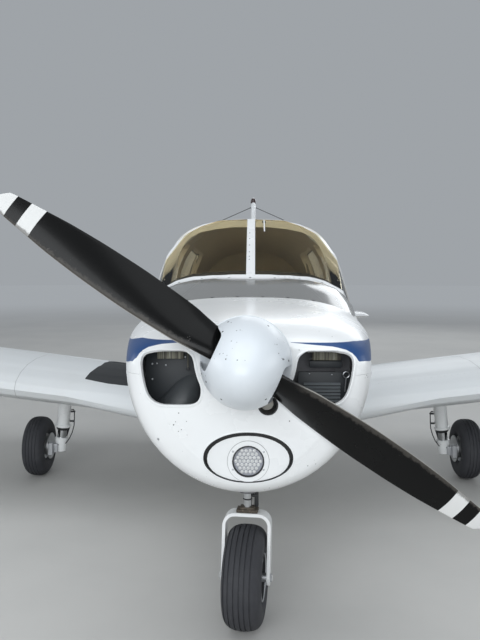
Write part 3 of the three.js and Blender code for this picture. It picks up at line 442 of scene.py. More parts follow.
def plastic(name, color, roughness, grain=500.0, depth=0.00012):
    paint = Finish(name, color, roughness)
    tone = paint.patches(0.3, 0.8, 7.0, 4.0)
    lighter = tuple(min(1.0, channel * 1.35 + 0.004) for channel in color)
    paint.coat_on(tone, lighter, min(1.0, roughness + 0.1), 0.5)
    paint.bump(paint.noise(grain, 2.0), depth)
    return paint.done()


def grey_paint(name, color, roughness):
    return plastic(name, color, roughness, 200.0, 0.0001)


def seat_cloth(color):
    """Woven cloth, its threads crossing at right angles."""
    paint = Finish("seat_cloth", color, 0.9, Sheen_Weight=0.25, Sheen_Roughness=0.5)
    warp = paint.math("SINE", paint.times(paint.x, 1980.0))
    weft = paint.math("SINE", paint.times(paint.plus(paint.y, paint.z), 1980.0))
    weave = paint.math("MULTIPLY_ADD", paint.times(warp, weft), 0.5, 0.5)
    lighter = tuple(min(1.0, channel * 1.4) for channel in color)
    paint.coat_on(weave, lighter, share=0.6)
    worn = paint.patches(0.45, 0.8, 6.0, 5.0)
    paint.coat_on(worn, tuple(channel * 0.6 for channel in color), share=0.4)
    paint.bump(weave, 0.0004)
    return paint.done()


def glazing():
    """Smoke-tinted acrylic with faint scratches."""
    paint = Finish("glazing", (0.86, 0.80, 0.65), 0.012, Transmission_Weight=1.0, IOR=1.16)
    haze = paint.patches(0.45, 0.8, 3.0, 5.0, 0.6)
    paint.roughen(paint.times(haze, 0.6), 0.06)
    paint.bump(paint.noise(60.0, 3.0, 0.7, (1.0, 0.1, 1.0)), 0.00002)
    return paint.done()


def lens(name, color, glow=0.0):
    paint = Finish(name, color, 0.06, Transmission_Weight=0.35, Coat_Weight=0.6)
    paint.shader.inputs["Emission Color"].default_value = (*color, 1.0)
    paint.shader.inputs["Emission Strength"].default_value = glow
    paint.bump(paint.math("SINE", paint.times(paint.z, 1400.0)), 0.0003)
    paint.coat_on(paint.noise(30.0), tuple(channel * 0.6 for channel in color), share=0.3)
    return paint.done()


def floor_finish():
    paint = Finish("floor_finish", (0.58, 0.57, 0.55), 0.55)
    tone = paint.patches(0.3, 0.75, 0.7, 5.0, 0.6)
    paint.coat_on(tone, (0.42, 0.42, 0.41), 0.5, 0.35)
    distance = paint.node("ShaderNodeVectorMath", operation="LENGTH")
    paint.feed(distance.inputs[0], paint.place)
    far = paint.step(distance.outputs["Value"], 6.0, 26.0)
    paint.coat_on(far, (0.0, 0.0, 0.0), 1.0)
    paint.shader.inputs["Specular IOR Level"].default_value = 0.1
    paint.shader.inputs["Emission Color"].default_value = (*SKY, 1.0)
    paint.feed(paint.shader.inputs["Emission Strength"], paint.times(far, SKY_STRENGTH))
    return paint.done()


def lamp_paint():
    """The lamp's plate: its raised oval is white, and the gap round it is painted black as shadow."""
    paint = Finish("lamp_paint", WHITE, 0.25, Coat_Weight=0.4, Coat_Roughness=0.08)
    age(paint, 0.5)
    # Painted shadow: the flange behind the raised oval is black, for the shade in the gap round the plate
    paint.coat_on(paint.step(paint.station, 0.3116, 0.3122), SHADOW_BLACK, 0.7)
    x, z = LAMP
    across, up = paint.minus(paint.x, x), paint.minus(paint.z, z)
    from_lamp = paint.math("SQRT", paint.plus(paint.times(across, across), paint.times(up, up)))
    paint.coat_on(paint.near(from_lamp, 0.0702, 0.0012), (0.10, 0.10, 0.10), 0.5, 0.6)
    return paint.done()


def streaked_plate():
    """Dull cream paint run with dirt from top to bottom."""
    paint = Finish("streaked_plate", (0.30, 0.29, 0.22), 0.5)
    runs = paint.patches(0.36, 0.62, 120.0, 4.0, 0.7, (1.0, 1.0, 0.03))
    paint.coat_on(runs, (0.085, 0.078, 0.060), 0.6)
    bright = paint.patches(0.62, 0.70, 170.0, 2.0, 0.5, (1.0, 1.0, 0.03))
    paint.coat_on(bright, (0.52, 0.51, 0.43), 0.4, 0.8)
    return paint.done()


def rusty_plate():
    paint = Finish("rusty_plate", (0.085, 0.070, 0.055), 0.6, Metallic=0.4)
    paint.coat_on(paint.patches(0.5, 0.7, 90.0, 4.0, 0.7), (0.20, 0.17, 0.13), 0.7)
    paint.bump(paint.noise(200.0, 2.0), 0.0002)
    return paint.done()


# Geometry

def facing(place, normal):
    """A place whose Z is turned to the normal."""
    z = Vector(normal).normalized()
    x = Vector((0, 0, 1)).cross(z)
    if x.length < 1e-4:
        x = Vector((1, 0, 0)).cross(z)
    x.normalize()
    return Matrix.Translation(place) @ Matrix((x, z.cross(x), z)).transposed().to_4x4()


def turn(angle, axis):
    return Matrix.Rotation(angle, 4, axis)


def shift(x, y, z):
    return Matrix.Translation((x, y, z))


def moved(x, station, z):
    return Matrix.Translation(at(x, station, z))


def ahead(x, station, z):
    """A place whose Z points forward."""
    return facing(at(x, station, z), FORWARD)


def bearings(path, cyclic):
    """Each point of a path with the direction of travel there."""
    count = len(path)
    for i, place in enumerate(path):
        before = path[i - 1] if i or cyclic else place
        after = path[(i + 1) % count] if i + 1 < count or cyclic else place
        yield place, (after - before).normalized()


def spline_point(a, b, c, d, t):
    """A point from b to c on the smooth curve through four points."""
    return 0.5 * (2 * b + (c - a) * t + (2 * a - 5 * b + 4 * c - d) * t ** 2
                  + (3 * b - a - 3 * c + d) * t ** 3)


class Forms:
    """Points and faces of many forms, joined into one piece."""

    def __init__(self):
        self.points = []
        self.faces = []
        self.values = []

    def add(self, points, faces, matrix=None, values=None):
        first = len(self.points)
        self.points += [matrix @ Vector(p) for p in points] if matrix else [Vector(p) for p in points]
        self.faces += [[first + i for i in face] for face in faces]
        self.values += values or [0.0] * len(points)

    def loft(self, rings, matrix=None, caps=True, cyclic=False, values=None):
        """Skin over rings of equally many points."""
        count = len(rings[0])
        points = [p for ring in rings for p in ring]
        starts = [r * count for r in range(len(rings))]
        faces = []
        for low, high in zip(starts, starts[1:] + starts[:int(cyclic)]):
            for i in range(count):
                k = (i + 1) % count
                faces.append([low + i, low + k, high + k, high + i])
        if caps and not cyclic:
            faces.append(list(range(count))[::-1])
            faces.append([starts[-1] + i for i in range(count)])
        self.add(points, faces, matrix, values)

    def prism(self, outline, start, end):
        """An outline of (x, z) pairs drawn out from one station to another."""
        self.loft([[at(x, station, z) for x, z in outline] for station in (start, end)])

    def turned(self, profile, segments, matrix=None, cyclic=False):
        """A profile of (radius, height) turned about Z."""
        rings = [[
            (r * math.cos(2 * math.pi * i / segments), r * math.sin(2 * math.pi * i / segments), h)
            for i in range(segments)
        ] for r, h in profile]
        closed_ends = not cyclic and profile[0][0] > 1e-6 and profile[-1][0] > 1e-6
        self.loft(rings, matrix, caps=closed_ends, cyclic=cyclic)

    def tube(self, path, radius, sides):
        """A round bar along points; radius is one number or one for each point."""
        radii = radius if isinstance(radius, list) else [radius] * len(path)
        rings, up = [], None
        for (place, tangent), size in zip(bearings(path, False), radii):
            if up is None:
                up = Vector((0, 0, 1)) if abs(tangent.z) < 0.9 else Vector((1, 0, 0))
            across = tangent.cross(up).normalized()
            up = across.cross(tangent).normalized()
            rings.append([
                place + (across * math.cos(a) + up * math.sin(a)) * size
                for a in (2 * math.pi * k / sides for k in range(sides))
            ])
        self.loft(rings)

    def sweep(self, hits, section):
        """A section of (across, up) pairs round a closed line of places, up being the skin's normal."""
        hits = [hit for hit in hits if hit]
        rings = []
        for (place, tangent), (_, normal) in zip(bearings([place for place, _ in hits], True), hits):
            across = tangent.cross(normal).normalized()
            up = across.cross(tangent).normalized()
            rings.append([place + across * a + up * u for a, u in section])
        self.loft(rings, cyclic=True)

    def disc(self, radius, low, high, segments, matrix):
        self.turned([(0.0, low), (radius, low), (radius, high), (0.0, high)], segments, matrix)

    def nut(self, radius, height, matrix):
        self.turned([(radius, 0.0), (radius, height), (0.0, height)], 6, matrix)

    def block(self, size, matrix, bevel=0.001, segments=2):
        mesh = bmesh.new()
        bmesh.ops.create_cube(mesh, size=1.0)
        bmesh.ops.scale(mesh, vec=size, verts=mesh.verts)
        bmesh.ops.bevel(mesh, geom=mesh.edges, offset=bevel, segments=segments, profile=0.5, affect="EDGES")
        mesh.verts.index_update()
        self.add([v.co.copy() for v in mesh.verts], [[v.index for v in f.verts] for f in mesh.faces], matrix)
        mesh.free()

    def head(self, place, normal, radius, height, sides=8):
        """A low domed head of a rivet or screw, its skirt just under the surface."""
        profile = [(radius, -0.0006), (radius, height * 0.35), (radius * 0.62, height * 0.9), (0.0, height)]
        self.turned(profile, sides, facing(place, normal))

    def mesh(self, attribute=None):
        mesh = bpy.data.meshes.new("shape")
        mesh.from_pydata(self.points, [], self.faces)
        if attribute:
            layer = mesh.attributes.new(attribute, "FLOAT", "POINT")
            layer.data.foreach_set("value", self.values)
        tidy_mesh(mesh)
        return mesh

    def piece(self, name, slot, material, replaces=(), body="airframe", attribute=None):
        return dress(self.mesh(attribute), name, body, material, replaces)


def tidy_mesh(mesh):
    work = bmesh.new()
    work.from_mesh(mesh)
    bmesh.ops.remove_doubles(work, verts=work.verts, dist=2e-6)
    bmesh.ops.dissolve_degenerate(work, edges=work.edges, dist=1e-7)
    bmesh.ops.recalc_face_normals(work, faces=work.faces)
    work.to_mesh(mesh)
    work.free()
    mesh.update()


def dress(mesh, name, body, material, replaces=(), smooth=32.0):
    """Puts a mesh in the scene as a piece that rides a body."""
    mesh.name = name
    mesh.materials.clear()
    mesh.materials.append(material)
    mesh.shade_smooth()
    mesh.set_sharp_from_angle(angle=math.radians(smooth))
    made = bpy.data.objects.new(name, mesh)
    bpy.context.scene.collection.objects.link(made)
    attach(made, body)
    if replaces:
        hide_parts(*replaces)
    return made


class Skin:
    """The outer faces of some of the model's nodes, to lay small pieces on."""

    def __init__(self, *sources):
        points, faces, self.owner = [], [], []
        for source in sources:
            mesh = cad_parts[source].data if isinstance(source, str) else source.data
            first = len(points)
            points += [v.co.copy() for v in mesh.vertices]
            faces += [[first + i for i in p.vertices] for p in mesh.polygons]
            self.owner += [source] * len(mesh.polygons)
        self.tree = BVHTree.FromPolygons(points, faces)

    def drop(self, start, direction, only=None):
        """The place and outward normal where a ray from start first meets the skin, or None."""
        place, normal, index, _ = self.tree.ray_cast(Vector(start), Vector(direction).normalized())
        if place is None or (only and self.owner[index] not in only):
            return None
        return place, (normal if normal.dot(Vector(direction)) < 0 else -normal)


# Camera, light and floor

def make_camera():
    forward = Vector((-math.sin(CAMERA_YAW) * math.cos(CAMERA_PITCH),
                      math.cos(CAMERA_YAW) * math.cos(CAMERA_PITCH), math.sin(CAMERA_PITCH)))
    right = forward.cross(Vector((0, 0, 1))).normalized()
    up = right.cross(forward)
    cosine, sine = math.cos(CAMERA_ROLL), math.sin(CAMERA_ROLL)
    turned_right = right * cosine + up * sine
    turned_up = up * cosine - right * sine
    data = bpy.data.cameras.new("camera")
    data.sensor_width = 36.0
    data.lens = CAMERA_LENS
    data.clip_end = 200.0
    camera = bpy.data.objects.new("camera", data)
    matrix = Matrix((turned_right, turned_up, -forward)).transposed().to_4x4()
    matrix.translation = CAMERA_PLACE
    camera.matrix_world = matrix
    scene = bpy.context.scene
    scene.collection.objects.link(camera)
    scene.camera = camera
    scene.view_settings.view_transform = "Standard"
    scene.view_settings.exposure = -1.0


# Soft boxes: name, place, target, width, height, watts
LIGHTS = [
    ("front_box", (-1.5, -11.0, 3.6), (0.0, -2.0, 1.0), 9.0, 4.5, 980.0),
    ("top_box", (0.0, -4.2, 8.5), (0.0, -2.0, 0.0), 10.0, 8.5, 660.0),
    ("rear_box", (3.0, 11.0, 5.5), (0.0, 1.0, 1.0), 8.0, 4.0, 400.0),
    ("port_box", (11.0, 0.0, 4.0), (0.0, 0.0, 1.0), 7.0, 4.0, 320.0),
    ("starboard_box", (-11.0, 0.0, 4.0), (0.0, 0.0, 1.0), 7.0, 4.0, 360.0),
]


def make_lights():
    for name, place, target, width, height, watts in LIGHTS:
        data = bpy.data.lights.new(name, "AREA")
        data.shape = "RECTANGLE"
        data.size = width
        data.size_y = height
        data.energy = watts
        data.color = (0.94, 0.975, 1.0)
        lamp = bpy.data.objects.new(name, data)
        lamp.location = place
        lamp.rotation_euler = (Vector(target) - Vector(place)).to_track_quat("-Z", "Y").to_euler()
        bpy.context.scene.collection.objects.link(lamp)
    world = bpy.data.worlds.new("world")
    world.use_nodes = True
    backdrop = world.node_tree.nodes["Background"]
    backdrop.inputs["Color"].default_value = (*SKY, 1.0)
    backdrop.inputs["Strength"].default_value = SKY_STRENGTH
    bpy.context.scene.world = world


def make_floor():
    forms = Forms()
    forms.turned([(0.0, 0.0), (6.0, 0.0), (60.0, 0.0)], 64)
    mesh = forms.mesh()
    mesh.materials.append(floor_finish())
    floor = bpy.data.objects.new("floor", mesh)
    bpy.context.scene.collection.objects.link(floor)


# The cowl, finer than the model's: station, half width, height of the widest line, top, bottom, and
# the powers of its upper and lower outlines
COWL_SECTIONS = [
    (0.298, 0.300, 1.122, 1.228, 0.790, 2.40, 2.00),
    (0.312, 0.362, 1.123, 1.246, 0.750, 2.50, 2.00),
    (0.340, 0.396, 1.126, 1.260, 0.722, 2.70, 1.98),
    (0.400, 0.421, 1.132, 1.276, 0.696, 2.80, 1.95),
    (0.500, 0.440, 1.142, 1.292, 0.675, 3.00, 1.94),
    (0.800, 0.486, 1.160, 1.318, 0.621, 2.72, 1.90),
    (1.100, 0.521, 1.144, 1.333, 0.587, 2.72, 2.09),
    (1.2647, 0.536, 1.133, 1.342, 0.574, 2.72, 2.31),
]
COWL_WALL = 0.012
COWL_SPLIT = 1.125
SPLIT_GAP = 0.0004
INTAKE = [
    (0.205, 1.206), (0.245, 1.206), (0.285, 1.206), (0.315, 1.202), (0.338, 1.195), (0.349, 1.182),
    (0.352, 1.165), (0.350, 1.145), (0.346, 1.120), (0.342, 1.100), (0.335, 1.075), (0.325, 1.053),
    (0.310, 1.038), (0.294, 1.030), (0.274, 1.026), (0.240, 1.025), (0.203, 1.025), (0.176, 1.027),
    (0.158, 1.036), (0.149, 1.052), (0.146, 1.074), (0.150, 1.095), (0.158, 1.115), (0.166, 1.145),
    (0.170, 1.168), (0.176, 1.186), (0.188, 1.198),
]
LAMP_OVAL = (0.002, 0.847, 0.150, 0.087, 2.05)
LAMP = (0.002, 0.832)
SMALL_INLET = (0.067, 1.025)
INLET_RADIUS = 0.034
RING_POINTS = 176
# How far out each intake's inner and outer edges are from the even outline, by side
INTAKE_SHIFT = {1: (-0.008, -0.001), -1: (0.009, 0.005)}


def intake_outline(side):
    inner, outer = INTAKE_SHIFT[side]
    low, high = 0.146, 0.352
    return [(side * (x + inner + (outer - inner) * (x - low) / (high - low)), z) for x, z in INTAKE]


def measured(points):
    """The distance run along a line of points at each of them."""
    runs = [0.0]
    for before, after in zip(points, points[1:]):
        runs.append(runs[-1] + math.dist(before, after))
    return runs


def span_at(runs, share):
    """The span of a measured line that holds a share of its length, and how far along the span that is."""
    run = runs[-1] * share
    k = min(len(runs) - 2, sum(1 for r in runs[1:] if r <= run))
    return k, (run - runs[k]) / (runs[k + 1] - runs[k])


def smooth_rows(rows, count, crowd=1.0):
    """Rows on a smooth curve through a table's rows; a crowd over 1 gathers them at its start."""
    runs = measured([row[:5] for row in rows])
    slopes = []
    for column in zip(*rows):
        steps = [(b - a) / (u - t) for a, b, t, u in zip(column, column[1:], runs, runs[1:])]
        inner = [2 * p * q / (p + q) if p * q > 0 else 0.0 for p, q in zip(steps, steps[1:])]
        slopes.append([steps[0], *inner, steps[-1]])
    fine = []
    for i in range(count):
        k, t = span_at(runs, (i / (count - 1)) ** crowd)
        span = runs[k + 1] - runs[k]
        fine.append([
            column[k] * (1 + 2 * t) * (1 - t) ** 2 + slope[k] * span * t * (1 - t) ** 2
            + column[k + 1] * t * t * (3 - 2 * t) + slope[k + 1] * span * t * t * (t - 1)
            for column, slope in zip(zip(*rows), slopes)
        ])
    return fine


def power_point(angle, power):
    cosine, sine = math.cos(angle), math.sin(angle)
    return (math.copysign(abs(cosine) ** (2 / power), cosine), math.copysign(abs(sine) ** (2 / power), sine))


def oval(x, z, half_width, half_height, power=2.0, count=96):
    turns = [power_point(2 * math.pi * i / count, power) for i in range(count)]
    return [(x + half_width * u, z + half_height * v) for u, v in turns]


def cowl_rings(inset):
    rings = []
    for station, half, waist, top, bottom, upper, lower in smooth_rows(COWL_SECTIONS, 72, 1.7):
        station += inset * max(0.0, 1 - (station - COWL_SECTIONS[0][0]) / 0.06)
        if inset and station > 1.264:
            station += 0.02
        ring = []
        for i in range(RING_POINTS):
            angle = 2 * math.pi * i / RING_POINTS
            above = math.sin(angle) >= 0
            u, v = power_point(angle, upper if above else lower)
            rise = (top - waist if above else waist - bottom) - inset
            ring.append(at((half - inset) * u, station, waist + rise * v))
        rings.append(ring)
    face = rings[0]
    middle = sum(face, Vector()) / RING_POINTS
    return [[middle.lerp(p, 0.97) for p in face]] + rings


def smooth_loop(points, steps=4):
    """A closed smooth curve through (x, z) points."""
    loop, count = [], len(points)
    for i in range(count):
        a, b, c, d = (Vector(points[(i + k) % count]) for k in (-1, 0, 1, 2))
        loop += [spline_point(a, b, c, d, j / steps) for j in range(steps)]
    return loop


def grown_loop(loop, distance):
    """A closed loop of (x, z) points moved outward; it comes back anticlockwise."""
    loop = [Vector(p) for p in loop]
    area = sum(a.x * b.y - b.x * a.y for a, b in zip(loop, loop[1:] + loop[:1]))
    if area < 0:
        loop.reverse()
    grown = []
    for i, point in enumerate(loop):
        along = (loop[(i + 1) % len(loop)] - loop[i - 1]).normalized()
        grown.append(point + Vector((along.y, -along.x)) * distance)
    return grown


def applied(thing):
    """The mesh of an object with its modifiers applied."""
    bpy.context.view_layer.update()
    return bpy.data.meshes.new_from_object(thing.evaluated_get(bpy.context.evaluated_depsgraph_get()))


def carved(shape, *steps):
    """The mesh left of one closed form after boolean steps, each an operation and another closed form."""
    made = []
    for form in (shape, *(form for _, form in steps)):
        made.append(bpy.data.objects.new("shape", form.mesh()))
        bpy.context.scene.collection.objects.link(made[-1])
    for (operation, _), other in zip(steps, made[1:]):
        modifier = made[0].modifiers.new(operation, "BOOLEAN")
        modifier.operation = operation
        modifier.solver = "EXACT"
        modifier.object = other
    mesh = applied(made[0])
    for one in made:
        bpy.data.objects.remove(one)
    tidy_mesh(mesh)
    return mesh


def make_cowl(paint):
    outer, inner, holes = Forms(), Forms(), Forms()
    outer.loft(cowl_rings(0.0))
    inner.loft(cowl_rings(COWL_WALL))
    for side in (1, -1):
        holes.prism(smooth_loop(intake_outline(side)), 0.20, 0.48)
    holes.prism(oval(*LAMP_OVAL), 0.20, 0.52)
    holes.prism(oval(*SMALL_INLET, INLET_RADIUS, INLET_RADIUS), 0.20, 0.48)
    holes.prism(oval(HUB.x, HUB.z, 0.115, 0.115), 0.20, 0.40)
    holes.turned([(0.062, 0.5), (0.062, 0.7)], 48, moved(*NOSE_AXIS, 0.0))
    holes.block((0.48, 0.225, 0.15), moved(0.0, 1.1725, 0.575), 0.012)
    pieces = []
    halves = (("cowl_upper", COWL_SPLIT + SPLIT_GAP, 1.6), ("cowl_lower", 0.3, COWL_SPLIT - SPLIT_GAP))
    for name, low, high in halves:
        half = Forms()
        half.block((1.6, 1.4, high - low), moved(0.0, 0.7, (low + high) / 2), 0.0002, 1)
        mesh = carved(outer, ("DIFFERENCE", inner), ("DIFFERENCE", holes), ("INTERSECT", half))
        pieces.append(dress(mesh, f"{name}_skin", "airframe", paint, [name]))
    return pieces


# Screws on the cowl's front as (x, z), and quarter-turn fasteners along its seams as (station, z)
COWL_SCREWS = [(0.121, 1.180), (0.140, 1.173), (-0.128, 1.180), (-0.146, 1.172),
               (0.30, 0.905), (-0.30, 0.905)]
COWL_FASTENERS = [(0.46, 1.108), (0.62, 1.108), (0.82, 1.108), (1.02, 1.108), (1.20, 1.108),
                  (1.235, 0.99), (1.235, 0.86), (1.235, 0.74)]
# The section of the rolled lips round the openings, as (across, up)
LIP = [(-0.0052, -0.011), (-0.0050, 0.0010), (-0.0030, 0.0026), (0.0005, 0.0028), (0.0040, 0.0010),
       (0.0048, -0.0020)]


def trim_cowl(skin, paint, steel):
    lips, heads = Forms(), Forms()
    for side in (1, -1):
        sweep_seen(lips, skin, grown_loop(smooth_loop(intake_outline(side)), 0.0046), LIP)
    sweep_seen(lips, skin, grown_loop(oval(*LAMP_OVAL), 0.0030), [(u * 0.6, v * 0.45) for u, v in LIP])
    lips.piece("cowl_lips", "white_paint", paint)
    for x, z in COWL_SCREWS:
        place_head(heads, skin, (x, BEFORE_NOSE, z), AFT, 0.0046, 0.0016)
    for station, z in COWL_FASTENERS:
        for side in (1, -1):
            place_head(heads, skin, at(side * BESIDE_BODY, station, z), (-side, 0, 0), 0.0080, 0.0016, 16)
    heads.piece("cowl_fasteners", "bare_steel", steel)


def sweep_seen(forms, skin, loop, section):
    """A section swept round a closed loop of (x, z) points dropped on the skin from the front."""
    forms.sweep([skin.drop((x, BEFORE_NOSE, z), AFT) for x, z in loop], section)


def place_head(forms, skin, start, direction, radius, height, sides=10, only=None):
    hit = skin.drop(start, direction, only)
    if hit:
        forms.head(*hit, radius, height, sides)


# What shows inside the intakes: x, z, width, height, station and depth of each plate
STRIPS = [(0.272, 1.1745, 0.100, 0.030, 0.425, 0.012), (-0.271, 1.1755, 0.092, 0.026, 0.425, 0.012)]
BAFFLES = [(0.2705, 1.1435, 0.114, 0.0235, 0.440, 0.012), (0.269, 1.060, 0.190, 0.114, 0.436, 0.010),
           (-0.262, 1.085, 0.200, 0.200, 0.448, 0.010)]
LOUVRES = [1.076 - 0.0118 * i for i in range(7)]
# Small bright heads on the baffles as (x, z, radius)
BAFFLE_SCREWS = [(-0.2217, 1.1662, 0.0034), (-0.2405, 1.1665, 0.0026), (-0.2900, 1.1370, 0.0034),
                 (-0.3210, 1.1430, 0.0026), (-0.338, 1.184, 0.0034), (-0.338, 1.141, 0.0034),
                 (-0.338, 1.087, 0.0034), (0.214, 1.111, 0.0026), (0.292, 1.108, 0.0026)]
# The curved duct behind the starboard intake as (x, station, z, radius)
DUCT = [(-0.186, 0.475, 1.125, 0.014), (-0.196, 0.470, 1.090, 0.034), (-0.212, 0.462, 1.055, 0.052),
        (-0.228, 0.455, 1.010, 0.068), (-0.262, 0.452, 0.96, 0.080)]


def make_intakes(dark, steel):
    plates, baffles, shadow_slabs_and_cap, bright, duct, louvres = (Forms() for _ in range(6))
    for forms, table in ((plates, STRIPS), (baffles, BAFFLES)):
        for x, z, width, height, station, depth in table:
            forms.block((width, depth, height), moved(x, station, z), 0.002)
    for z in LOUVRES:
        tilt = moved(0.258, 0.428, z) @ turn(math.radians(35), "X")
        louvres.block((0.128, 0.014, 0.0020), tilt, 0.0004, 1)
        # Painted shadow: a dark slab just behind each louvre fills the gap under it, where shade falls
        # between the fins
        shadow_slabs_and_cap.block((0.128, 0.002, 0.0054), moved(0.258, 0.4300, z - 0.0055), 0.0005, 1)
    duct.tube([at(*place) for *place, _ in DUCT], [radius for *_, radius in DUCT], 40)
    plates.tube([at(-0.2095, 0.418, 1.186), at(-0.2095, 0.418, 1.132)], 0.0022, 10)
    shadow_slabs_and_cap.head(at(-0.2095, 0.418, 1.128), FORWARD, 0.006, 0.003, 12)
    eye = [(0.0105 + 0.0025 * math.cos(a), 0.0025 * math.sin(a)) for a in (math.pi * k / 4 for k in range(8))]
    bright.turned(eye, 28, ahead(0.340, 0.415, 1.110), cyclic=True)
    bright.tube([at(0.340, 0.415, 1.098), at(0.336, 0.418, 1.051)], 0.0026, 10)
    for x, z, radius in BAFFLE_SCREWS:
        bright.head(at(x, 0.4425 if x < 0 else 0.4305, z), FORWARD, radius, 0.0016, 12)
    plates.piece("intake_plates", "white_paint", streaked_plate())
    baffles.piece("intake_baffles", "engine_metal", grey_paint("baffle_paint", (0.024, 0.028, 0.032), 0.5))
    shadow_slabs_and_cap.piece("intake_shadow_slabs_and_cap", "dark_plastic", dark)
    bright.piece("intake_fittings", "bare_steel", steel)
    duct.piece("intake_duct", "engine_metal", grey_paint("duct_grey", (0.055, 0.060, 0.064), 0.4))
    louvres.piece("intake_louvres", "engine_metal", plastic("louvre_grey", (0.15, 0.165, 0.175), 0.4))


# Landing lamp: a honeycomb of cells in a dark cup, and the small round inlet above it
LAMP_DARK_LINING = [(-0.0034, -0.006), (-0.0034, 0.0004), (0.0008, 0.0004), (0.0008, -0.006)]
LAMP_CUP = [(0.0530, -0.040), (0.0530, 0.0), (0.0500, 0.0006), (0.0494, -0.0095)]
LAMP_CELL = [(0.0070, 0.0), (0.0070, 0.0035), (0.0060, 0.0052), (0.0034, 0.0062), (0.0, 0.0065)]
CELL_PITCH = 0.0138
LAMP_SCREWS = (0.866, 0.805)
INLET_WALL = [(-0.0003, 0.0), (-0.0040, 0.0), (-0.0060, -0.060), (-0.0003, -0.060)]
INLET_DISC = [(0.0, 0.001), (0.0225, 0.0), (0.0232, -0.002), (0.0, -0.002)]


def make_lamp(skin, dark, steel, cream):
    dark_lining, cup, backing, cells, screws, disc = (Forms() for _ in range(6))
    # A dark ring lines the lamp's opening from the skin inward
    sweep_seen(dark_lining, skin, grown_loop(oval(*LAMP_OVAL), 0.0012), LAMP_DARK_LINING)
    x, z = LAMP
    front = ahead(x, 0.306, z)
    cup.turned(LAMP_CUP, 64, front)
    backing.disc(0.0492, -0.0100, -0.0094, 64, front)
    for row in range(-3, 4):
        for column in range(-3, 4):
            if abs(row + column) > 3:
                continue
            across, up = CELL_PITCH * (column + 0.5 * row), CELL_PITCH * row * math.sqrt(0.75)
            cells.turned(LAMP_CELL, 6, front @ shift(across, up, -0.0118))
    for side in (1, -1):
        for height in LAMP_SCREWS:
            screws.head(at(x + side * 0.0515, 0.3092, height), FORWARD, 0.0038, 0.0012, 12)
    x, z = SMALL_INLET
    inlet = ahead(x, 0.302, z)
    cup.turned([(INLET_RADIUS + out, depth) for out, depth in INLET_WALL], 48, inlet, cyclic=True)
    cup.disc(INLET_RADIUS - 0.005, -0.058, -0.060, 48, inlet)
    disc.turned(INLET_DISC, 40, ahead(x - 0.003, 0.352, z - 0.004))
    dark_lining.piece("lamp_dark_lining", "dark_plastic", dark)
    backing.piece("lamp_backing", "dark_plastic", plastic("cup_grey", (0.32, 0.33, 0.37), 0.4))
    cells.piece("lamp_cells", "lamp_glass", lens("lamp_cells", (0.85, 0.86, 0.86), 0.15), ["landing_lamp"])
    cup.piece("lamp_cup", "dark_plastic", dark)
    screws.piece("lamp_screws", "bare_steel", steel)
    disc.piece("inlet_disc", "white_paint", cream)


# Seats: middle, half width, and the sewn channels as distances from the middle
FRONT_CHANNELS = (-0.145, -0.05, 0.05, 0.145)
REAR_CHANNELS = (-0.34, -0.235, -0.13, 0.0, 0.13, 0.235, 0.34)
SEATS = [("seat_front_left", 0.255, 0.215, FRONT_CHANNELS),
         ("seat_front_right", -0.255, 0.215, FRONT_CHANNELS),
         ("seat_rear", 0.0, 0.430, REAR_CHANNELS)]
SEAT_VOXEL = 0.010
SEAT_ROUNDING = 16
SEAT_CROWN = 0.016
CHANNEL_DEPTH = 0.009
CHANNEL_WIDTH = 0.007


def make_cushions(cover):
    """Rounds each seat's own form, crowns what is sat on and leant on, and sinks its sewn channels."""
    for name, middle, half, channels in SEATS:
        form = bpy.data.objects.new("form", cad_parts[name].data.copy())
        bpy.context.scene.collection.objects.link(form)
        voxels = form.modifiers.new("voxels", "REMESH")
        voxels.mode = "VOXEL"
        voxels.voxel_size = SEAT_VOXEL
        rounding = form.modifiers.new("rounding", "SMOOTH")
        rounding.factor = 0.5
        rounding.iterations = SEAT_ROUNDING
        mesh = applied(form)
        bpy.data.objects.remove(form)
        moves = []
        for vertex in mesh.vertices:
            across = vertex.co.x - middle
            soft = max(0.0, 1.0 - abs(vertex.normal.x) * 1.6) * (vertex.normal.z - vertex.normal.y > 0.2)
            crown = SEAT_CROWN * (max(0.0, 1.0 - (across / half) ** 2) - 0.6)
            sink = sum(math.exp(-((across - line) / CHANNEL_WIDTH) ** 2) for line in channels)
            moves.append(vertex.normal * soft * (crown - CHANNEL_DEPTH * sink))
        for vertex, move in zip(mesh.vertices, moves):
            vertex.co += move
        cushion = dress(mesh, f"{name}_cushion", "airframe", cover, [name], smooth=70.0)


# Propeller and spinner, in the shaft's own frame whose -Y is the thrust line

# A blade's radius, chord, angle from the disc and thickness
BLADE_SECTIONS = [
    (0.060, 0.110, 46.0, 0.040), (0.150, 0.130, 44.0, 0.034), (0.250, 0.149, 38.0, 0.025),
    (0.400, 0.150, 30.0, 0.019), (0.550, 0.141, 24.0, 0.015), (0.700, 0.122, 19.0, 0.012),
    (0.820, 0.095, 16.0, 0.009), (0.900, 0.076, 14.5, 0.007), (0.922, 0.067, 14.2, 0.0065),
    (0.934, 0.055, 14.0, 0.006), (0.9385, 0.044, 14.0, 0.0045), (0.940, 0.026, 14.0, 0.003),
]
# Half a section's outline: share of the chord from its leading edge, and share of the thickness
BLADE_FRONT = [(0.0, 0.0), (0.012, 0.11), (0.05, 0.24), (0.12, 0.38), (0.22, 0.50), (0.35, 0.56),
               (0.50, 0.55), (0.65, 0.46), (0.80, 0.31), (0.92, 0.15), (0.985, 0.05), (1.0, 0.0)]
BLADE_BACK = [(0.985, -0.04), (0.92, -0.10), (0.78, -0.24), (0.60, -0.38), (0.40, -0.44), (0.22, -0.42),
              (0.10, -0.30), (0.035, -0.18), (0.010, -0.10)]
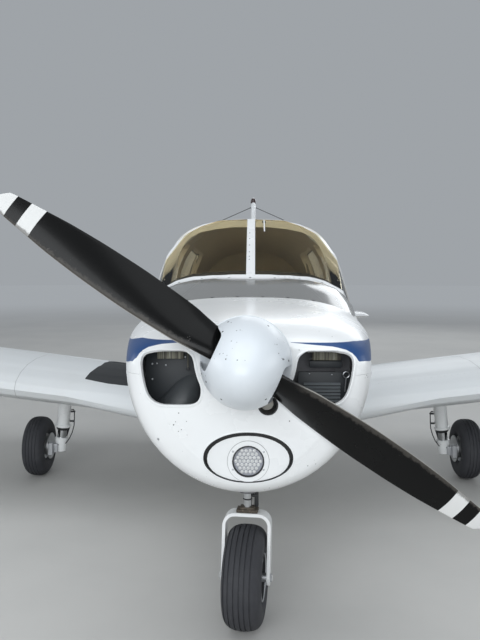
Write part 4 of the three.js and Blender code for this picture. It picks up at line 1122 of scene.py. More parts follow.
# The cut-out round each blade: distance out from the axis, its two edges across, and how far it is turned
SLOT = (0.107, -0.070, 0.062)
SLOT_TURN = math.radians(-9)
SPINNER_RIM = [(0.1480, -0.0006), (0.1508, -0.0002), (0.1510, 0.0034), (0.1486, 0.0050)]
# Screws on the spinner as height above its base and angle round it
SPINNER_SCREWS = [(0.053, 146), (0.065, 94), (0.125, 155), (0.159, 51), (0.105, 43), (0.105, -137),
                  (0.159, -129), (0.197, -96), (0.205, -16), (0.045, -40), (0.045, -86)]


def prop_matrix():
    return Matrix.Translation(HUB) @ turn(THRUST_DOWN, "X") @ turn(-THRUST_ASIDE, "Z") @ turn(PROP_ANGLE, "Y")


def blade_rings(rows):
    outline = BLADE_FRONT + BLADE_BACK
    rings = []
    for radius, chord, angle, thickness in rows:
        cosine, sine = math.cos(math.radians(angle)), math.sin(math.radians(angle))
        ring = []
        for share, across in outline:
            back, front = (share - 0.5) * chord, across * thickness
            ring.append((radius, back * sine - front * cosine, -back * cosine - front * sine))
        rings.append(ring)
    return rings, [max(0.0, 1 - share / 0.35) for share, _ in outline]


def make_propeller(paint):
    forms = Forms()
    rings, worn = blade_rings(smooth_rows(BLADE_SECTIONS, 110))
    for angle in (0.0, math.pi):
        forms.loft(rings, prop_matrix() @ turn(angle, "Y"), values=worn * len(rings))
    forms.turned([(0.072, -0.042), (0.072, 0.042)], 48, prop_matrix() @ turn(QUARTER, "X"))
    forms.piece("propeller_blades", "blade_paint", paint, ["propeller"], attribute="edge", body="propeller")


def spinner_radius(height, radius=SPINNER_RADIUS, length=SPINNER_LENGTH):
    return radius * math.sqrt(max(0.0, 1 - (height / length) ** 1.9))


def spinner_form(radius, length, lift=0.0):
    heights = [length * (1 - (i / 44) ** 1.6) for i in range(45)]
    profile = [(spinner_radius(h, radius, length), h + lift) for h in heights] + [(0.0, lift)]
    forms = Forms()
    forms.turned(profile, 128, prop_matrix() @ shift(0, SPINNER_BASE, 0) @ turn(QUARTER, "X"))
    return forms


def make_spinner(paint, dark):
    slots, core, trim, screws = Forms(), Forms(), Forms(), Forms()
    out, low, high = SLOT
    outline = rounded([(out, low), (out, high), (0.20, high), (0.20, low)], 0.012)
    rings = [[(x, y, z) for x, z in outline] for y in (SPINNER_BASE - 0.004, -0.20)]
    for angle in (0.0, math.pi):
        slots.loft(rings, prop_matrix() @ turn(angle + SLOT_TURN, "Y"))
    along = prop_matrix() @ turn(QUARTER, "X")
    core.turned([(0.078, -0.10), (0.078, 0.06)], 48, along)
    mesh = carved(spinner_form(SPINNER_RADIUS, SPINNER_LENGTH),
                  ("DIFFERENCE", spinner_form(SPINNER_RADIUS - 0.005, SPINNER_LENGTH - 0.016, 0.005)),
                  ("DIFFERENCE", slots), ("DIFFERENCE", core))
    dress(mesh, "spinner_shell", "propeller", paint, ["spinner"])
    trim.turned(SPINNER_RIM, 128, along @ shift(0, 0, -SPINNER_BASE), cyclic=True)
    trim.piece("spinner_rim", "white_paint", paint, body="propeller")
    for height, angle in SPINNER_SCREWS:
        radius = spinner_radius(height)
        slope = (spinner_radius(height + 0.001) - spinner_radius(height - 0.001)) / 0.002
        across, up = math.cos(math.radians(angle)), math.sin(math.radians(angle))
        place = Vector((radius * across, SPINNER_BASE - height, radius * up))
        normal = Vector((across, slope, up))
        screws.head(prop_matrix() @ place, prop_matrix().to_3x3() @ normal, 0.0036, 0.0012, 12)
    tip = prop_matrix() @ Vector((0, SPINNER_BASE - SPINNER_LENGTH + 0.0008, 0))
    screws.head(tip, prop_matrix().to_3x3() @ Vector(FORWARD), 0.0040, 0.0005, 12)
    screws.piece("spinner_screws", "bare_steel", dark, body="propeller")


# Wheels, turned about their axles

GROOVE_DEPTH = 0.0042


def tyre_profile(grooves):
    """Radius and distance along the axle from bead to bead, with grooves in the tread."""
    half_width, middle = 0.074, 0.142

    def crown(w):
        return middle + 0.066 * (1 - min(1.0, abs(w) / half_width) ** 2.6) ** (1 / 2.6)

    side = [(middle - drop, half_width * (1 - (drop / 0.064) ** 2.2) ** (1 / 2.2))
            for drop in (0.052 * (9 - i) / 9 for i in range(10))]
    shoulder = [(crown(half_width * s), half_width * s) for s in (0.997, 0.985, 0.965, 0.94, 0.91)]
    tread = {0.001 * step for step in range(-64, 65, 4)}
    cuts = []
    for middle_w in grooves:
        tread = {w for w in tread if abs(w - middle_w) > 0.004}
        cuts += [(middle_w + sign * 0.0024, 0.0) for sign in (1, -1)]
        cuts += [(middle_w + sign * 0.0019, GROOVE_DEPTH) for sign in (1, -1)]
    points = sorted([(w, 0.0) for w in tread] + cuts, reverse=True)
    tread_line = [(crown(w) - depth, w) for w, depth in points]
    return side + shoulder + tread_line + [(r, -w) for r, w in reversed(side + shoulder)]


# Rims as radius and distance along the axle: half a rim, a main wheel's brake disc and its hat
RIM_HALF = [(0.038, 0.046), (0.046, 0.027), (0.066, 0.027), (0.082, 0.044), (0.089, 0.048)]
BRAKE_DISC = [
    [(0.060, -0.086), (0.092, -0.086), (0.092, -0.079), (0.060, -0.079)],
    [(0.023, -0.085), (0.064, -0.085), (0.064, -0.040), (0.023, -0.040)],
]


def wheel_matrix(x, station, heading, share=1.0):
    return (moved(x, station, TYRE_RADIUS) @ turn(heading, "Z") @ turn(QUARTER, "Y")
            @ Matrix.Diagonal((1, 1, share, 1)))


# The nose rim's dark well and its bright lip, as radius and distance along the axle
NOSE_WELL = [(0.0700, 0.0290), (0.0885, 0.0480), (0.0890, 0.0660), (0.0905, 0.0660), (0.0900, 0.0470),
             (0.0710, 0.0280)]
NOSE_FLANGE = [(0.0890, 0.0660), (0.0900, 0.0685), (0.0940, 0.0695), (0.0955, 0.0680), (0.0945, 0.0655)]
BOLT_CIRCLE = 0.056
BOLT_FACE = 0.0272
# Where the grooves are across each kind of tyre
NOSE_GROOVES = (-0.060, -0.042, -0.021, -0.001, 0.017, 0.037)
MAIN_GROOVES = (-0.033, -0.011, 0.011, 0.033)


def make_wheel(name, end, matrix, grooves, bore, loops, finishes):
    """One wheel; its nodes are called after its leg and which end of the axle line it is on."""
    rubber, alloy, steel = finishes
    body = f"{name}_wheel{end}"
    tyre, rim, bolts = Forms(), Forms(), Forms()
    tyre.turned(tyre_profile(grooves), 112, matrix, cyclic=True)
    half = [(bore, 0.046)] + RIM_HALF
    rim.turned(half + [(r, -w) for r, w in reversed(half)], 64, matrix, cyclic=True)
    for loop in loops:
        rim.turned(loop, 64, matrix, cyclic=True)
    for side in (1, -1):
        if name == "nose":
            bolts.turned([(r, side * w) for r, w in NOSE_FLANGE], 64, matrix, cyclic=True)
        for k in range(6):
            angle = 2 * math.pi * k / 6 + 0.3
            spot = matrix @ Vector((BOLT_CIRCLE * math.cos(angle), BOLT_CIRCLE * math.sin(angle),
                                    side * BOLT_FACE))
            bolts.head(spot, matrix.to_3x3() @ Vector((0, 0, side)), 0.0058, 0.0050, 6)
    tyre.piece(f"{name}{end}_tyre_treaded", "tyre_rubber", rubber, [f"{name}_tyre{end}"], body=body)
    rim.piece(f"{name}{end}_rim_turned", "wheel_metal", alloy, [f"{name}_rim{end}"], body=body)
    bolts.piece(f"{name}{end}_rim_bolts", "bare_steel", steel, body=body)


def make_wheels(rubber, alloy, steel, dark):
    finishes = (rubber, alloy, steel)
    nose = wheel_matrix(NOSE_AXIS[0] + NOSE_LEAD * math.sin(NOSE_STEER),
                        NOSE_AXIS[1] - NOSE_LEAD * math.cos(NOSE_STEER), NOSE_STEER, NOSE_WIDTH_SHARE)
    make_wheel("nose", "", nose, NOSE_GROOVES, 0.020, (), finishes)
    well = Forms()
    for side in (1, -1):
        well.turned([(r, side * w) for r, w in NOSE_WELL], 64, nose, cyclic=True)
    well.piece("nose_rim_well", "dark_plastic", dark, body="nose_wheel")
    for end, side, heading in (("_left", 1, 0.0), ("_right", -1, math.pi)):
        main = wheel_matrix(side * MAIN_WHEEL_X, MAIN_STATION, heading)
        make_wheel("main", end, main, MAIN_GROOVES, 0.023, BRAKE_DISC, finishes)


# Trim on the gear: sleeves, seals, brake lines and nuts

# Round sleeves on a main leg as (z, radius), and the brake line beside it as (z, out, aft)
LEG_FOOT = [(0.272, 0.0415), (0.268, 0.0445), (0.255, 0.0440), (0.176, 0.0412)]
LEG_SEAL = [(0.346, 0.0425), (0.335, 0.0425), (0.333, 0.0370), (0.326, 0.0350)]
LEG_RING = [(0.366, 0.0525), (0.362, 0.0555), (0.352, 0.0555), (0.348, 0.0525)]
BRAKE_LINE = [(0.470, -0.046, 0.010), (0.470, -0.062, 0.012), (0.452, -0.070, 0.014), (0.400, -0.074, 0.016),
              (0.350, -0.076, 0.018), (0.300, -0.068, 0.018), (0.258, -0.054, 0.010), (0.232, -0.040, -0.020),
              (0.222, 0.020, -0.046)]
LINE_CLIPS = (0.455, 0.385)
CLIP_SIZE = (0.030, 0.014, 0.012)
LINK_BOLTS = (0.378, 0.235)
MAIN_AXLE_NUT = [(0.016, 0.0), (0.016, 0.010), (0.012, 0.012), (0.0, 0.012)]
# On the nose leg: a ring as (z, radius), blocks as size and place, and what is on the axle's ends
LINK_RING = [(0.518, 0.0178), (0.5195, 0.0192), (0.5225, 0.0192), (0.524, 0.0178)]
LINK_BLOCKS = [((0.017, 0.014, 0.062), (0.036, 0.012, 0.515)), ((0.026, 0.018, 0.012), (0.030, 0.010, 0.532))]
COLLAR_BLOCKS = [((0.089, 0.051, 0.0136), (0, 0, 0.4725)), ((0.062, 0.040, 0.010), (0, 0, 0.483))]
AXLE_SPACER = [(0.0152, 0.058), (0.0180, 0.058), (0.0180, 0.0870), (0.0152, 0.0870)]
AXLE_NUT = [(0.0185, 0.1012), (0.0185, 0.1080), (0.0145, 0.1095), (0.0, 0.1095)]


def by_leg(side, z, out=0.0, aft=0.0):
    """A place by a main leg's slanting middle line."""
    return at(side * (1.355 - (z - 0.343) * math.tan(DIHEDRAL) + out), MAIN_STATION + aft, z)


def make_main_gear_trim(paint, dark, steel):
    fittings, seals, lines, nuts = Forms(), Forms(), Forms(), Forms()
    for side in (1, -1):
        for forms, sleeve in ((fittings, LEG_FOOT), (seals, LEG_SEAL), (fittings, LEG_RING)):
            forms.tube([by_leg(side, z) for z, _ in sleeve], [radius for _, radius in sleeve], 40)
        lines.tube([by_leg(side, *place) for place in BRAKE_LINE], 0.0036, 10)
        for z in LINE_CLIPS:
            lines.block(CLIP_SIZE, Matrix.Translation(by_leg(side, z, -0.060, 0.012)), 0.002)
        axle_end = facing(at(side * (MAIN_WHEEL_X + 0.070), MAIN_STATION, TYRE_RADIUS), (side, 0, 0))
        nuts.turned(MAIN_AXLE_NUT, 6, axle_end)
        for z in LINK_BOLTS:
            for way in (1, -1):
                nuts.nut(0.009, 0.006, facing(by_leg(side, z, way * 0.022, 0.085), (way, 0, 0)))
    fittings.piece("main_gear_fittings", "gear_paint", paint)
    seals.piece("main_gear_seals", "dark_plastic", dark)
    lines.piece("brake_lines", "dark_plastic", dark)
    nuts.piece("main_gear_nuts", "bare_steel", steel)


def make_nose_gear_trim(chrome, dark, steel):
    steered = moved(*NOSE_AXIS, 0.0) @ turn(NOSE_STEER, "Z")
    sleeve, link, collar, spacers = Forms(), Forms(), Forms(), Forms()
    sleeve.tube([steered @ Vector((0, 0, z)) for z in (0.478, 0.549)], 0.0176, 36)
    link.tube([steered @ Vector((0, 0, z)) for z, _ in LINK_RING], [radius for _, radius in LINK_RING], 36)
    for forms, blocks, bevel in ((link, LINK_BLOCKS, 0.003), (collar, COLLAR_BLOCKS, 0.002)):
        for size, place in blocks:
            forms.block(size, steered @ shift(*place), bevel)
    for side in (1, -1):
        out = steered @ shift(0, -NOSE_LEAD, TYRE_RADIUS) @ turn(side * QUARTER, "Y")
        spacers.turned(AXLE_SPACER, 32, out, cyclic=True)
        spacers.turned(AXLE_NUT, 6, out)
    sleeve.piece("nose_piston_sleeve", "chrome", chrome, body="nose_fork")
    link.piece("nose_link", "dark_plastic", dark, body="nose_fork")
    collar.piece("nose_collar", "engine_metal", rusty_plate(), body="nose_fork")
    spacers.piece("nose_axle_nuts", "bare_steel", steel, body="nose_fork")


# Rivet rows, laid on the skin by rays

FRAME_STATIONS = (1.283, 1.955, 2.93, 3.55, 3.885, 3.913, 4.62, 5.33, 6.02)
RIB_SIDES = (1.415, 2.02, 2.78, 3.54, 4.20)
SPAR_STATIONS = (2.15, 2.61)
FIN_RIBS = (1.30, 1.62, 1.94, 2.22)
PLANE_RIBS = (0.16, 0.55, 0.94, 1.30)
RIVETS_ROUND = 90
MID_BODY = 1.06
BELT_PITCH = 0.05
RIB_PITCH = 0.038
SPAR_PITCH = 0.04
RIVET = (0.0030, 0.0011, 6)


def rivet_line(forms, skin, starts, direction, only=None):
    for start in starts:
        place_head(forms, skin, start, direction, *RIVET, only)


def rivet_body(paint):
    shell = Skin("forward_fuselage", "tail_cone", "cabin_door", "windshield_left", "windshield_right",
                 "window_front_left", "window_rear_left", "window_rear_right", "door_window", "wing_left",
                 "wing_right")
    hull, door = Forms(), Forms()
    for forms, owner in ((hull, ("forward_fuselage", "tail_cone")), (door, ("cabin_door",))):
        for station in FRAME_STATIONS:
            for i in range(RIVETS_ROUND):
                angle = 2 * math.pi * i / RIVETS_ROUND
                out = Vector((math.cos(angle), 0, math.sin(angle)))
                rivet_line(forms, shell, [at(0.0, station, MID_BODY) + out * 1.5], -out, owner)
        for z in BELT_HEIGHTS:
            for side in (1, -1):
                starts = [at(side * BESIDE_BODY, 1.32 + BELT_PITCH * i, z) for i in range(96)]
                rivet_line(forms, shell, starts, (-side, 0, 0), owner)
    hull.piece("fuselage_rivets", "white_paint", paint)
    door.piece("door_rivets", "white_paint", paint, body="cabin_door")


def rivet_wings(paints):
    for name, side in (("left", 1), ("right", -1)):
        wing, forms = Skin(f"wing_{name}", "forward_fuselage"), Forms()
        for way in (1, -1):
            for rib in RIB_SIDES:
                starts = [at(side * rib, 2.02 + RIB_PITCH * i, 1.0 + way * 1.5) for i in range(32)]
                rivet_line(forms, wing, starts, (0, 0, -way), (f"wing_{name}",))
            for spar in SPAR_STATIONS:
                starts = [at(side * (0.66 + SPAR_PITCH * i), spar, 1.0 + way * 1.5) for i in range(92)]
                rivet_line(forms, wing, starts, (0, 0, -way), (f"wing_{name}",))
        forms.piece(f"wing_rivets_{name}", "white_paint", paints[name])


def rivet_tail(paint):
    fin, rudder, plane = Forms(), Forms(), Forms()
    upright = Skin("fin", "rudder", "stabilator")
    for side in (1, -1):
        for z in FIN_RIBS:
            starts = [at(side * BESIDE_BODY, 5.6 + 0.04 * i, z) for i in range(36)]
            rivet_line(fin, upright, starts, (-side, 0, 0), ("fin",))
            rivet_line(rudder, upright, starts, (-side, 0, 0), ("rudder",))
        for x in PLANE_RIBS:
            for way in (1, -1):
                starts = [at(side * x, 5.9 + 0.04 * i, 1.0 + way) for i in range(24)]
                rivet_line(plane, upright, starts, (0, 0, -way), ("stabilator",))
    fin.piece("fin_rivets", "white_paint", paint)
    rudder.piece("rudder_rivets", "white_paint", paint, body="rudder")
    plane.piece("stabilator_rivets", "white_paint", paint, body="stabilator")


# Small fittings on the skin: the fuel caps as (out, station), the wing root screws as x, the door's
# handle as (station, z), and what is turned as (radius, height)
FUEL_CAP = (2.32, 2.36)
ROOT_SCREWS = (0.619, -0.629)
HANDLE = (2.60, 1.175)
CAP = [(0.044, -0.001), (0.044, 0.003), (0.040, 0.004), (0.0, 0.004)]
CAP_RING = [(0.0445, -0.001), (0.0445, 0.0022), (0.052, 0.0018), (0.052, -0.001)]
HANDLE_BOSS = [(0.012, 0.0), (0.012, 0.012), (0.009, 0.014), (0.0, 0.014)]
PROBE_WASHER = [(0.011, -0.001), (0.011, 0.002), (0.004, 0.003), (0.004, -0.001)]


def make_fittings(paint, steel, dark, chrome):
    caps, rings, screws, handle = Forms(), Forms(), Forms(), Forms()
    for name, side in (("left", 1), ("right", -1)):
        wing = Skin(f"wing_{name}", f"flap_{name}")
        out, station = FUEL_CAP
        base = facing(*wing.drop(at(side * out, station, 2.0), DOWN))
        caps.turned(CAP, 40, base)
        rings.turned(CAP_RING, 40, base, cyclic=True)
        rings.block((0.050, 0.008, 0.005), base @ shift(0, 0, 0.0055), 0.001)
    shell = Skin("forward_fuselage", "wing_left", "wing_right")
    for x in ROOT_SCREWS:
        place_head(screws, shell, at(x, 1.40, 0.691), AFT, 0.0075, 0.003, 12)
    base = facing(*Skin("cabin_door").drop(at(-BESIDE_BODY, *HANDLE), (1, 0, 0)))
    handle.block((0.020, 0.120, 0.004), base @ shift(0, 0, 0.001), 0.002)
    handle.block((0.014, 0.105, 0.006), base @ shift(0, 0, 0.012), 0.002)
    handle.turned(HANDLE_BOSS, 32, base @ shift(0, -0.042, 0.0))
    caps.piece("fuel_caps", "white_paint", paint)
    rings.piece("fuel_cap_rings", "bare_steel", steel)
    screws.piece("wing_root_screws", "dark_plastic", dark)
    handle.piece("door_handle", "chrome", chrome, body="cabin_door")


# Dials on the instrument board as (x, z, radius), and radios as (z, height)
DIALS = [(0.150 + 0.092 * column, 1.322 - 0.092 * row, 0.040) for row in (0, 1) for column in (0, 1, 2)]
DIALS += [(-0.170, 1.322, 0.030), (-0.245, 1.322, 0.030), (-0.320, 1.322, 0.030), (-0.170, 1.225, 0.040)]
RADIOS = [(1.330, 0.040), (1.282, 0.046), (1.230, 0.046), (1.182, 0.040)]
PANEL_FACE = 1.802
# A dial's rim as share of its radius and height, and a radio's knob as radius and height
DIAL_RIM = [(0.88, 0.0), (0.88, 0.005), (1.0, 0.007), (1.1, 0.0)]
RADIO_KNOB = [(0.008, 0.0), (0.007, 0.012), (0.0, 0.012)]


def make_dials(bezel, face, marks, glass):
    rims, faces, ticks, panes = Forms(), Forms(), Forms(), Forms()
    for i, (x, z, radius) in enumerate(DIALS):
        base = facing(at(x, PANEL_FACE, z), AFT)
        rims.turned([(radius * share, height) for share, height in DIAL_RIM], 40, base, cyclic=True)
        faces.disc(radius * 0.9, 0.0, 0.002, 40, base)
        for k in range(12):
            spoke = base @ turn(2 * math.pi * k / 12, "Z") @ shift(radius * 0.76, 0, 0.0024)
            ticks.block((radius * (0.2 if k % 3 == 0 else 0.12), 0.0012, 0.0006), spoke, 0.0001, 1)
        needle = base @ turn(0.9 * i, "Z") @ shift(radius * 0.26, 0, 0.0030)
        ticks.block((radius * 0.66, 0.0020, 0.0008), needle, 0.0002, 1)
        panes.disc(radius * 0.87, 0.0042, 0.0050, 40, base)
    for z, height in RADIOS:
        rims.block((0.160, 0.010, height), moved(0.0, PANEL_FACE + 0.004, z), 0.002)
        for x in (-0.068, 0.068):
            rims.turned(RADIO_KNOB, 24, facing(at(x, PANEL_FACE + 0.009, z), AFT))
        faces.block((0.100, 0.002, height * 0.4), moved(0.0, PANEL_FACE + 0.0096, z), 0.0005)
    rims.piece("dial_rims", "dark_plastic", bezel)
    faces.piece("dial_faces", "dark_plastic", face)
    ticks.piece("dial_marks", "white_paint", marks)
    panes.piece("dial_glass", "lamp_glass", glass)


# Windshield trim, as (x, station, z) points on the glass or the skin

BAND_TOP = [(0.0, 1.645, 1.470), (0.136, 1.662, 1.468), (0.238, 1.690, 1.460), (0.329, 1.734, 1.450),
            (0.406, 1.764, 1.428), (0.464, 1.804, 1.403), (0.513, 1.837, 1.373), (0.540, 1.880, 1.330)]
RETAINER_TOP = [(0.0, 1.606, 1.446), (0.137, 1.622, 1.444), (0.242, 1.657, 1.439), (0.345, 1.710, 1.428),
                (0.436, 1.756, 1.397), (0.501, 1.798, 1.363), (0.537, 1.817, 1.329), (0.556, 1.862, 1.280)]
RETAINER_FOOT = [(0.0, 1.566, 1.420), (0.120, 1.578, 1.420), (0.200, 1.602, 1.414), (0.300, 1.638, 1.404),
                 (0.385, 1.672, 1.384), (0.450, 1.706, 1.352), (0.502, 1.730, 1.312), (0.534, 1.760, 1.264)]
LINER_TOP = [(0.0, 2.126, 1.768), (0.208, 2.162, 1.763), (0.341, 2.206, 1.738), (0.432, 2.208, 1.681),
             (0.482, 2.145, 1.597), (0.515, 2.010, 1.475), (0.542, 1.886, 1.364)]
LINER_FOOT = [(0.0, 2.059, 1.727), (0.203, 2.088, 1.718), (0.301, 2.114, 1.700), (0.366, 2.116, 1.668),
              (0.408, 2.060, 1.600), (0.440, 1.950, 1.500), (0.490, 1.850, 1.390)]
DECK_SCREWS = (-0.30, -0.18, -0.06, 0.06, 0.18, 0.30)
RETAINER_SCREWS = [(-0.256, 1.631, 1.418), (-0.112, 1.589, 1.427), (-0.002, 1.579, 1.429),
                   (0.125, 1.586, 1.423), (0.254, 1.625, 1.415), (0.375, 1.680, 1.394),
                   (-0.377, 1.680, 1.394)]
STRIP_RIVETS = [1.685, 1.650, 1.611, 1.571, 1.546, 1.529]
PROBE_TOP = (0.076, 2.112, 1.760)
PROBE_FOOT = (0.076, 2.002, 1.677)


def even_line(points, count):
    """Points evenly spaced along a smooth line through the given ones."""
    points = [Vector(p) for p in points]
    ends = [2 * points[0] - points[1], *points, 2 * points[-1] - points[-2]]
    dense = []
    for four in zip(ends, ends[1:], ends[2:], ends[3:]):
        dense += [spline_point(*four, j / 12) for j in range(12)]
    dense.append(points[-1])
    runs = measured(dense)
    line = []
    for i in range(count):
        k, t = span_at(runs, i / (count - 1))
        line.append(dense[k].lerp(dense[k + 1], t))
    return line


def sheet_normal(x):
    """The outward way off the windshield at a distance out."""
    share = min(0.97, abs(x) / 0.610)
    lean = math.copysign(0.760 * share / 0.610 / math.sqrt(1 - share * share), x)
    return Vector((lean, -1.0, 1.61)).normalized()


def on_sheet(skin, place):
    """The skin's outer face by a place near it, with the skin's normal there."""
    away = sheet_normal(place.x)
    hit = skin.drop(place + away * 0.12, -away)
    return hit if hit and (hit[0] - place).length < 0.06 else (place, away)


def ribbon(forms, skin, upper, lower, low, high, side, count=64, across=6):
    """A band between two lines on the skin, from one offset along its normal to another."""
    rings = []
    for top, foot in zip(even_line(upper, count), even_line(lower, count)):
        outer, inner = [], []
        for k in range(across + 1):
            spot = top.lerp(foot, k / across)
            place, normal = on_sheet(skin, at(side * spot.x, spot.y, spot.z))
            outer.append(place + normal * high)
            inner.append(place + normal * low)
        rings.append(outer + inner[::-1])
    forms.loft(rings)


def make_windshield_trim(plain, dark, cream):
    glass = Skin("windshield_left", "windshield_right", "windshield_strip")
    shell = Skin("windshield_left", "windshield_right", "windshield_strip", "forward_fuselage")
    retainer, band, liner, heads = Forms(), Forms(), Forms(), Forms()
    for side in (1, -1):
        ribbon(retainer, shell, RETAINER_TOP, RETAINER_FOOT, -0.001, 0.0022, side)
        ribbon(band, glass, BAND_TOP, RETAINER_TOP, -0.0085, -0.0068, side)
        ribbon(liner, glass, LINER_TOP, LINER_FOOT, -0.0090, -0.0068, side)
    retainer.piece("windshield_retainer", "white_paint", plain)
    band.piece("windshield_band", "dark_plastic", dark)
    liner.piece("headliner_edge", "cabin_trim", cream)
    for x, station, z in RETAINER_SCREWS:
        place, normal = on_sheet(shell, at(x, station, z))
        heads.head(place + normal * 0.0022, normal, 0.0060, 0.0018, 12)
    for x in DECK_SCREWS:
        place_head(heads, shell, at(x, FIREWALL + 0.012, 2.2), DOWN, 0.0060, 0.0018, 12)
    for z in STRIP_RIVETS:
        place_head(heads, glass, (-0.008, BEFORE_NOSE, z), AFT, 0.0034, 0.0014)
    heads.piece("windshield_screws", "dark_plastic", dark)
    probe, washer = Forms(), Forms()
    top, normal = on_sheet(glass, at(*PROBE_TOP))
    foot, _ = on_sheet(glass, at(*PROBE_FOOT))
    probe.tube([top + normal * 0.010, foot + normal * 0.012], 0.0042, 12)
    probe.tube([top - normal * 0.003, top + normal * 0.011], 0.0042, 12)
    washer.turned(PROBE_WASHER, 32, facing(top, normal), cyclic=True)
    probe.piece("air_probe", "white_paint", plain)
    washer.piece("air_probe_washer", "dark_plastic", dark)


# Side windows as (station, z) corners, with the section of the dark gasket round each
WINDOWS = {
    "front": [(2.035, 1.272), (2.700, 1.272), (2.700, 1.640), (2.240, 1.640)],
    "rear": [(2.850, 1.272), (3.440, 1.272), (3.340, 1.585), (2.850, 1.640)],
}
GASKET = [(-0.0055, -0.001), (-0.0050, 0.0012), (0.0, 0.0020), (0.0050, 0.0012), (0.0055, -0.001)]


def rounded(outline, radius, steps=8):
    """An outline with its corners turned into curves."""
    loop = []
    for i, corner in enumerate(outline):
        corner = Vector(corner)
        before = corner + (Vector(outline[i - 1]) - corner).normalized() * radius
        after = corner + (Vector(outline[(i + 1) % len(outline)]) - corner).normalized() * radius
        loop += [before * (1 - t) ** 2 + corner * 2 * t * (1 - t) + after * t * t
                 for t in (k / steps for k in range(steps + 1))]
    return loop


def make_gaskets(dark):
    for body, side, kind, names in (
        ("airframe", 1, "front", ("forward_fuselage", "window_front_left")),
        ("airframe", 1, "rear", ("forward_fuselage", "window_rear_left")),
        ("airframe", -1, "rear", ("forward_fuselage", "window_rear_right")),
        ("cabin_door", -1, "front", ("cabin_door", "door_window")),
    ):
        skin, forms = Skin(*names), Forms()
        loop = rounded(WINDOWS[kind], 0.060)
        forms.sweep([skin.drop(at(side * 2.0, station, z), (-side, 0, 0)) for station, z in loop], GASKET)
        forms.piece(f"gasket_{kind}_{'port' if side > 0 else 'starboard'}", "dark_plastic", dark, body=body)


# Finishes on the model's own nodes

def shell_smoother(limit, front=BEFORE_NOSE):
    """Welds a node's corners and shades it smooth up to an angle, and all of it ahead of front."""
    group = bpy.data.node_groups.new("shell_smoother", "GeometryNodeTree")
    group.interface.new_socket("Geometry", in_out="INPUT", socket_type="NodeSocketGeometry")
    group.interface.new_socket("Geometry", in_out="OUTPUT", socket_type="NodeSocketGeometry")
    names = ["NodeGroupInput", "GeometryNodeMergeByDistance", "GeometryNodeSetShadeSmooth",
             "GeometryNodeSetShadeSmooth", "NodeGroupOutput"]
    chain = [group.nodes.new(name) for name in names]
    chain[1].inputs["Distance"].default_value = 2e-5
    chain[3].domain = "EDGE"
    chain[3].inputs["Shade Smooth"].default_value = False
    angle = group.nodes.new("GeometryNodeInputMeshEdgeAngle")
    sharp = group.nodes.new("FunctionNodeCompare")
    sharp.operation = "GREATER_THAN"
    sharp.inputs["B"].default_value = math.radians(limit)
    group.links.new(angle.outputs["Unsigned Angle"], sharp.inputs["A"])
    parts = group.nodes.new("ShaderNodeSeparateXYZ")
    group.links.new(group.nodes.new("GeometryNodeInputPosition").outputs[0], parts.inputs[0])
    behind = group.nodes.new("FunctionNodeCompare")
    behind.operation = "GREATER_THAN"
    behind.inputs["B"].default_value = front
    group.links.new(parts.outputs["Y"], behind.inputs["A"])
    both = group.nodes.new("FunctionNodeBooleanMath")
    group.links.new(sharp.outputs["Result"], both.inputs[0])
    group.links.new(behind.outputs["Result"], both.inputs[1])
    group.links.new(both.outputs[0], chain[3].inputs["Selection"])
    for before, after in zip(chain, chain[1:]):
        group.links.new(before.outputs[0], after.inputs[0])
    return group


AIRFOILS = ("wing", "flap", "aileron", "fin", "rudder", "stabilator", "anti_servo")


def finish_nodes(by_node):
    smoother, round_smoother = shell_smoother(24), shell_smoother(65, WING_ROOT.y + 0.1)
    for name, material in by_node.items():
        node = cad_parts[name]
        split_normals = node.data.attributes.get("custom_normal")
        if split_normals:
            node.data.attributes.remove(split_normals)
        node.data.materials.clear()
        node.data.materials.append(material)
        modifier = node.modifiers.new("smooth_shell", "NODES")
        modifier.node_group = round_smoother if name.startswith(AIRFOILS) else smoother


# Edges of the model's own nodes that are softened, and by how much
BEVELS = {"instrument_panel": 0.003,
          "nose_fork": 0.0015, "brake_left": 0.002, "brake_right": 0.002, "boarding_step": 0.002,
          "windshield_strip": 0.002}


def make_finishes():
    """The finishes that the model's nodes and more than one sub-part wear."""
    return SimpleNamespace(
        body=body_paint(),
        tail=surface_paint("tail_paint"),
        gear=gear_paint(),
        cowl=cowl_paint("cowl_paint", WHITE, 0.24),
        # Painted shade: the spinner wears the cowl's white paint made darker and bluer
        spinner=cowl_paint("spinner_paint", (0.73, 0.77, 0.81), 0.34),
        beaded=surface_paint("moving_surface_paint", 0.150),
        rudder=surface_paint("rudder_paint", 0.140, upright=True),
        wings={"left": wing_paint(1), "right": wing_paint(-1)},
        blades=blade_paint(),
        rubber=tyre_rubber(),
        glass=glazing(),
        alloy=metal("wheel_alloy", (0.60, 0.61, 0.62), 0.38),
        steel=metal("bare_steel", STEEL, 0.32),
        chrome=metal("chrome", (0.50, 0.51, 0.52), 0.07, dirt=0.12),
        iron_and_shade=metal("engine_metal", (0.20, 0.20, 0.21), 0.6),
        dark=plastic("dark_plastic", (0.020, 0.021, 0.023), 0.55),
        trim=plastic("cabin_trim", (0.66, 0.58, 0.43), 0.7),
        cream=plastic("cream_paint", (0.62, 0.60, 0.54), 0.45, 300.0, 0.00006),
        seat=seat_cloth((0.22, 0.17, 0.115)),
    )


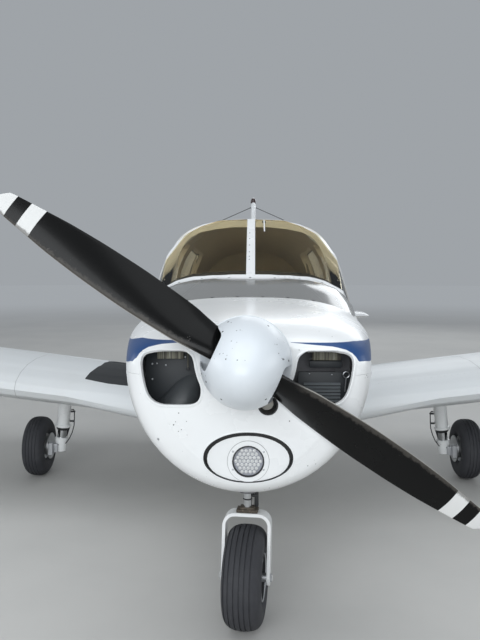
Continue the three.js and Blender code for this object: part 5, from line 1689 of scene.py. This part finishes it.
def finish_by_node(worn):
    """The finish of each of the model's own nodes."""
    by_node = {
        "spinner": worn.spinner, "propeller": worn.blades, "lamp_plate": lamp_paint(),
        "rudder": worn.rudder, "nose_rim": worn.alloy, "nose_tyre": worn.rubber,
        # Painted shade: the beacon's red lens is laid nearly black, as the red looks in shade
        "beacon": lens("red_lens", (0.035, 0.003, 0.003)),
        "landing_lamp": lens("lamp_lens", (0.8, 0.8, 0.82)),
    }
    for finish, names in (
        (worn.body, "forward_fuselage cabin_door tail_cone"),
        (worn.tail, "windshield_strip fin stabilator"),
        (worn.cowl, "cowl_upper cowl_lower"),
        (worn.gear, "nose_fork pitot_mast"),
        # The nose strut wears the dark engine metal as painted shadow, for the cowl's shadow that falls on it
        (worn.iron_and_shade, "engine nose_strut"),
        (worn.steel, "firewall exhaust_pipe"),
        (worn.dark, "instrument_panel nav_antenna boarding_step"),
        (worn.trim, "cabin_floor rear_bulkhead"),
        (worn.seat, "seat_front_left seat_front_right seat_rear"),
        (worn.glass, "door_window window_front_left window_rear_left window_rear_right"),
        (worn.glass, "windshield_left windshield_right"),
    ):
        for name in names.split():
            by_node[name] = finish
    for side in ("left", "right"):
        by_node[f"wing_{side}"] = worn.wings[side]
        for finish, names in (
            (worn.beaded, "flap aileron"),
            (worn.tail, "anti_servo_tab"),
            (worn.gear, "main_leg"),
            (worn.chrome, "main_piston"),
            (worn.dark, "torque_links"),
            (worn.steel, "brake"),
            (worn.alloy, "main_rim"),
            (worn.rubber, "main_tyre"),
        ):
            for name in names.split():
                by_node[f"{name}_{side}"] = finish
    return by_node


def main():
    make_camera()
    make_lights()
    make_floor()
    worn = make_finishes()
    steel, dark = worn.steel, worn.dark
    finish_nodes(finish_by_node(worn))
    make_cushions(worn.seat)
    for name, width in BEVELS.items():
        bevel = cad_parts[name].modifiers.new("soft_edges", "BEVEL")
        bevel.width = width
        bevel.segments = 3
        bevel.limit_method = "ANGLE"
    cowl_skin = Skin(*make_cowl(worn.cowl))
    trim_cowl(cowl_skin, worn.cowl, steel)
    make_intakes(dark, steel)
    make_lamp(cowl_skin, dark, steel, worn.cream)
    make_propeller(worn.blades)
    make_spinner(worn.spinner, dark)
    make_wheels(worn.rubber, worn.alloy, steel, dark)
    make_windshield_trim(worn.tail, dark, worn.cream)
    make_gaskets(dark)
    make_main_gear_trim(worn.gear, dark, steel)
    make_nose_gear_trim(worn.chrome, dark, steel)
    rivet_body(worn.body)
    rivet_wings(worn.wings)
    rivet_tail(worn.tail)
    make_fittings(worn.body, steel, dark, worn.chrome)
    marks = plastic("mark_white", (0.7, 0.7, 0.68), 0.5)
    make_dials(dark, plastic("dial_black", (0.012, 0.012, 0.013), 0.4), marks, worn.glass)


main()
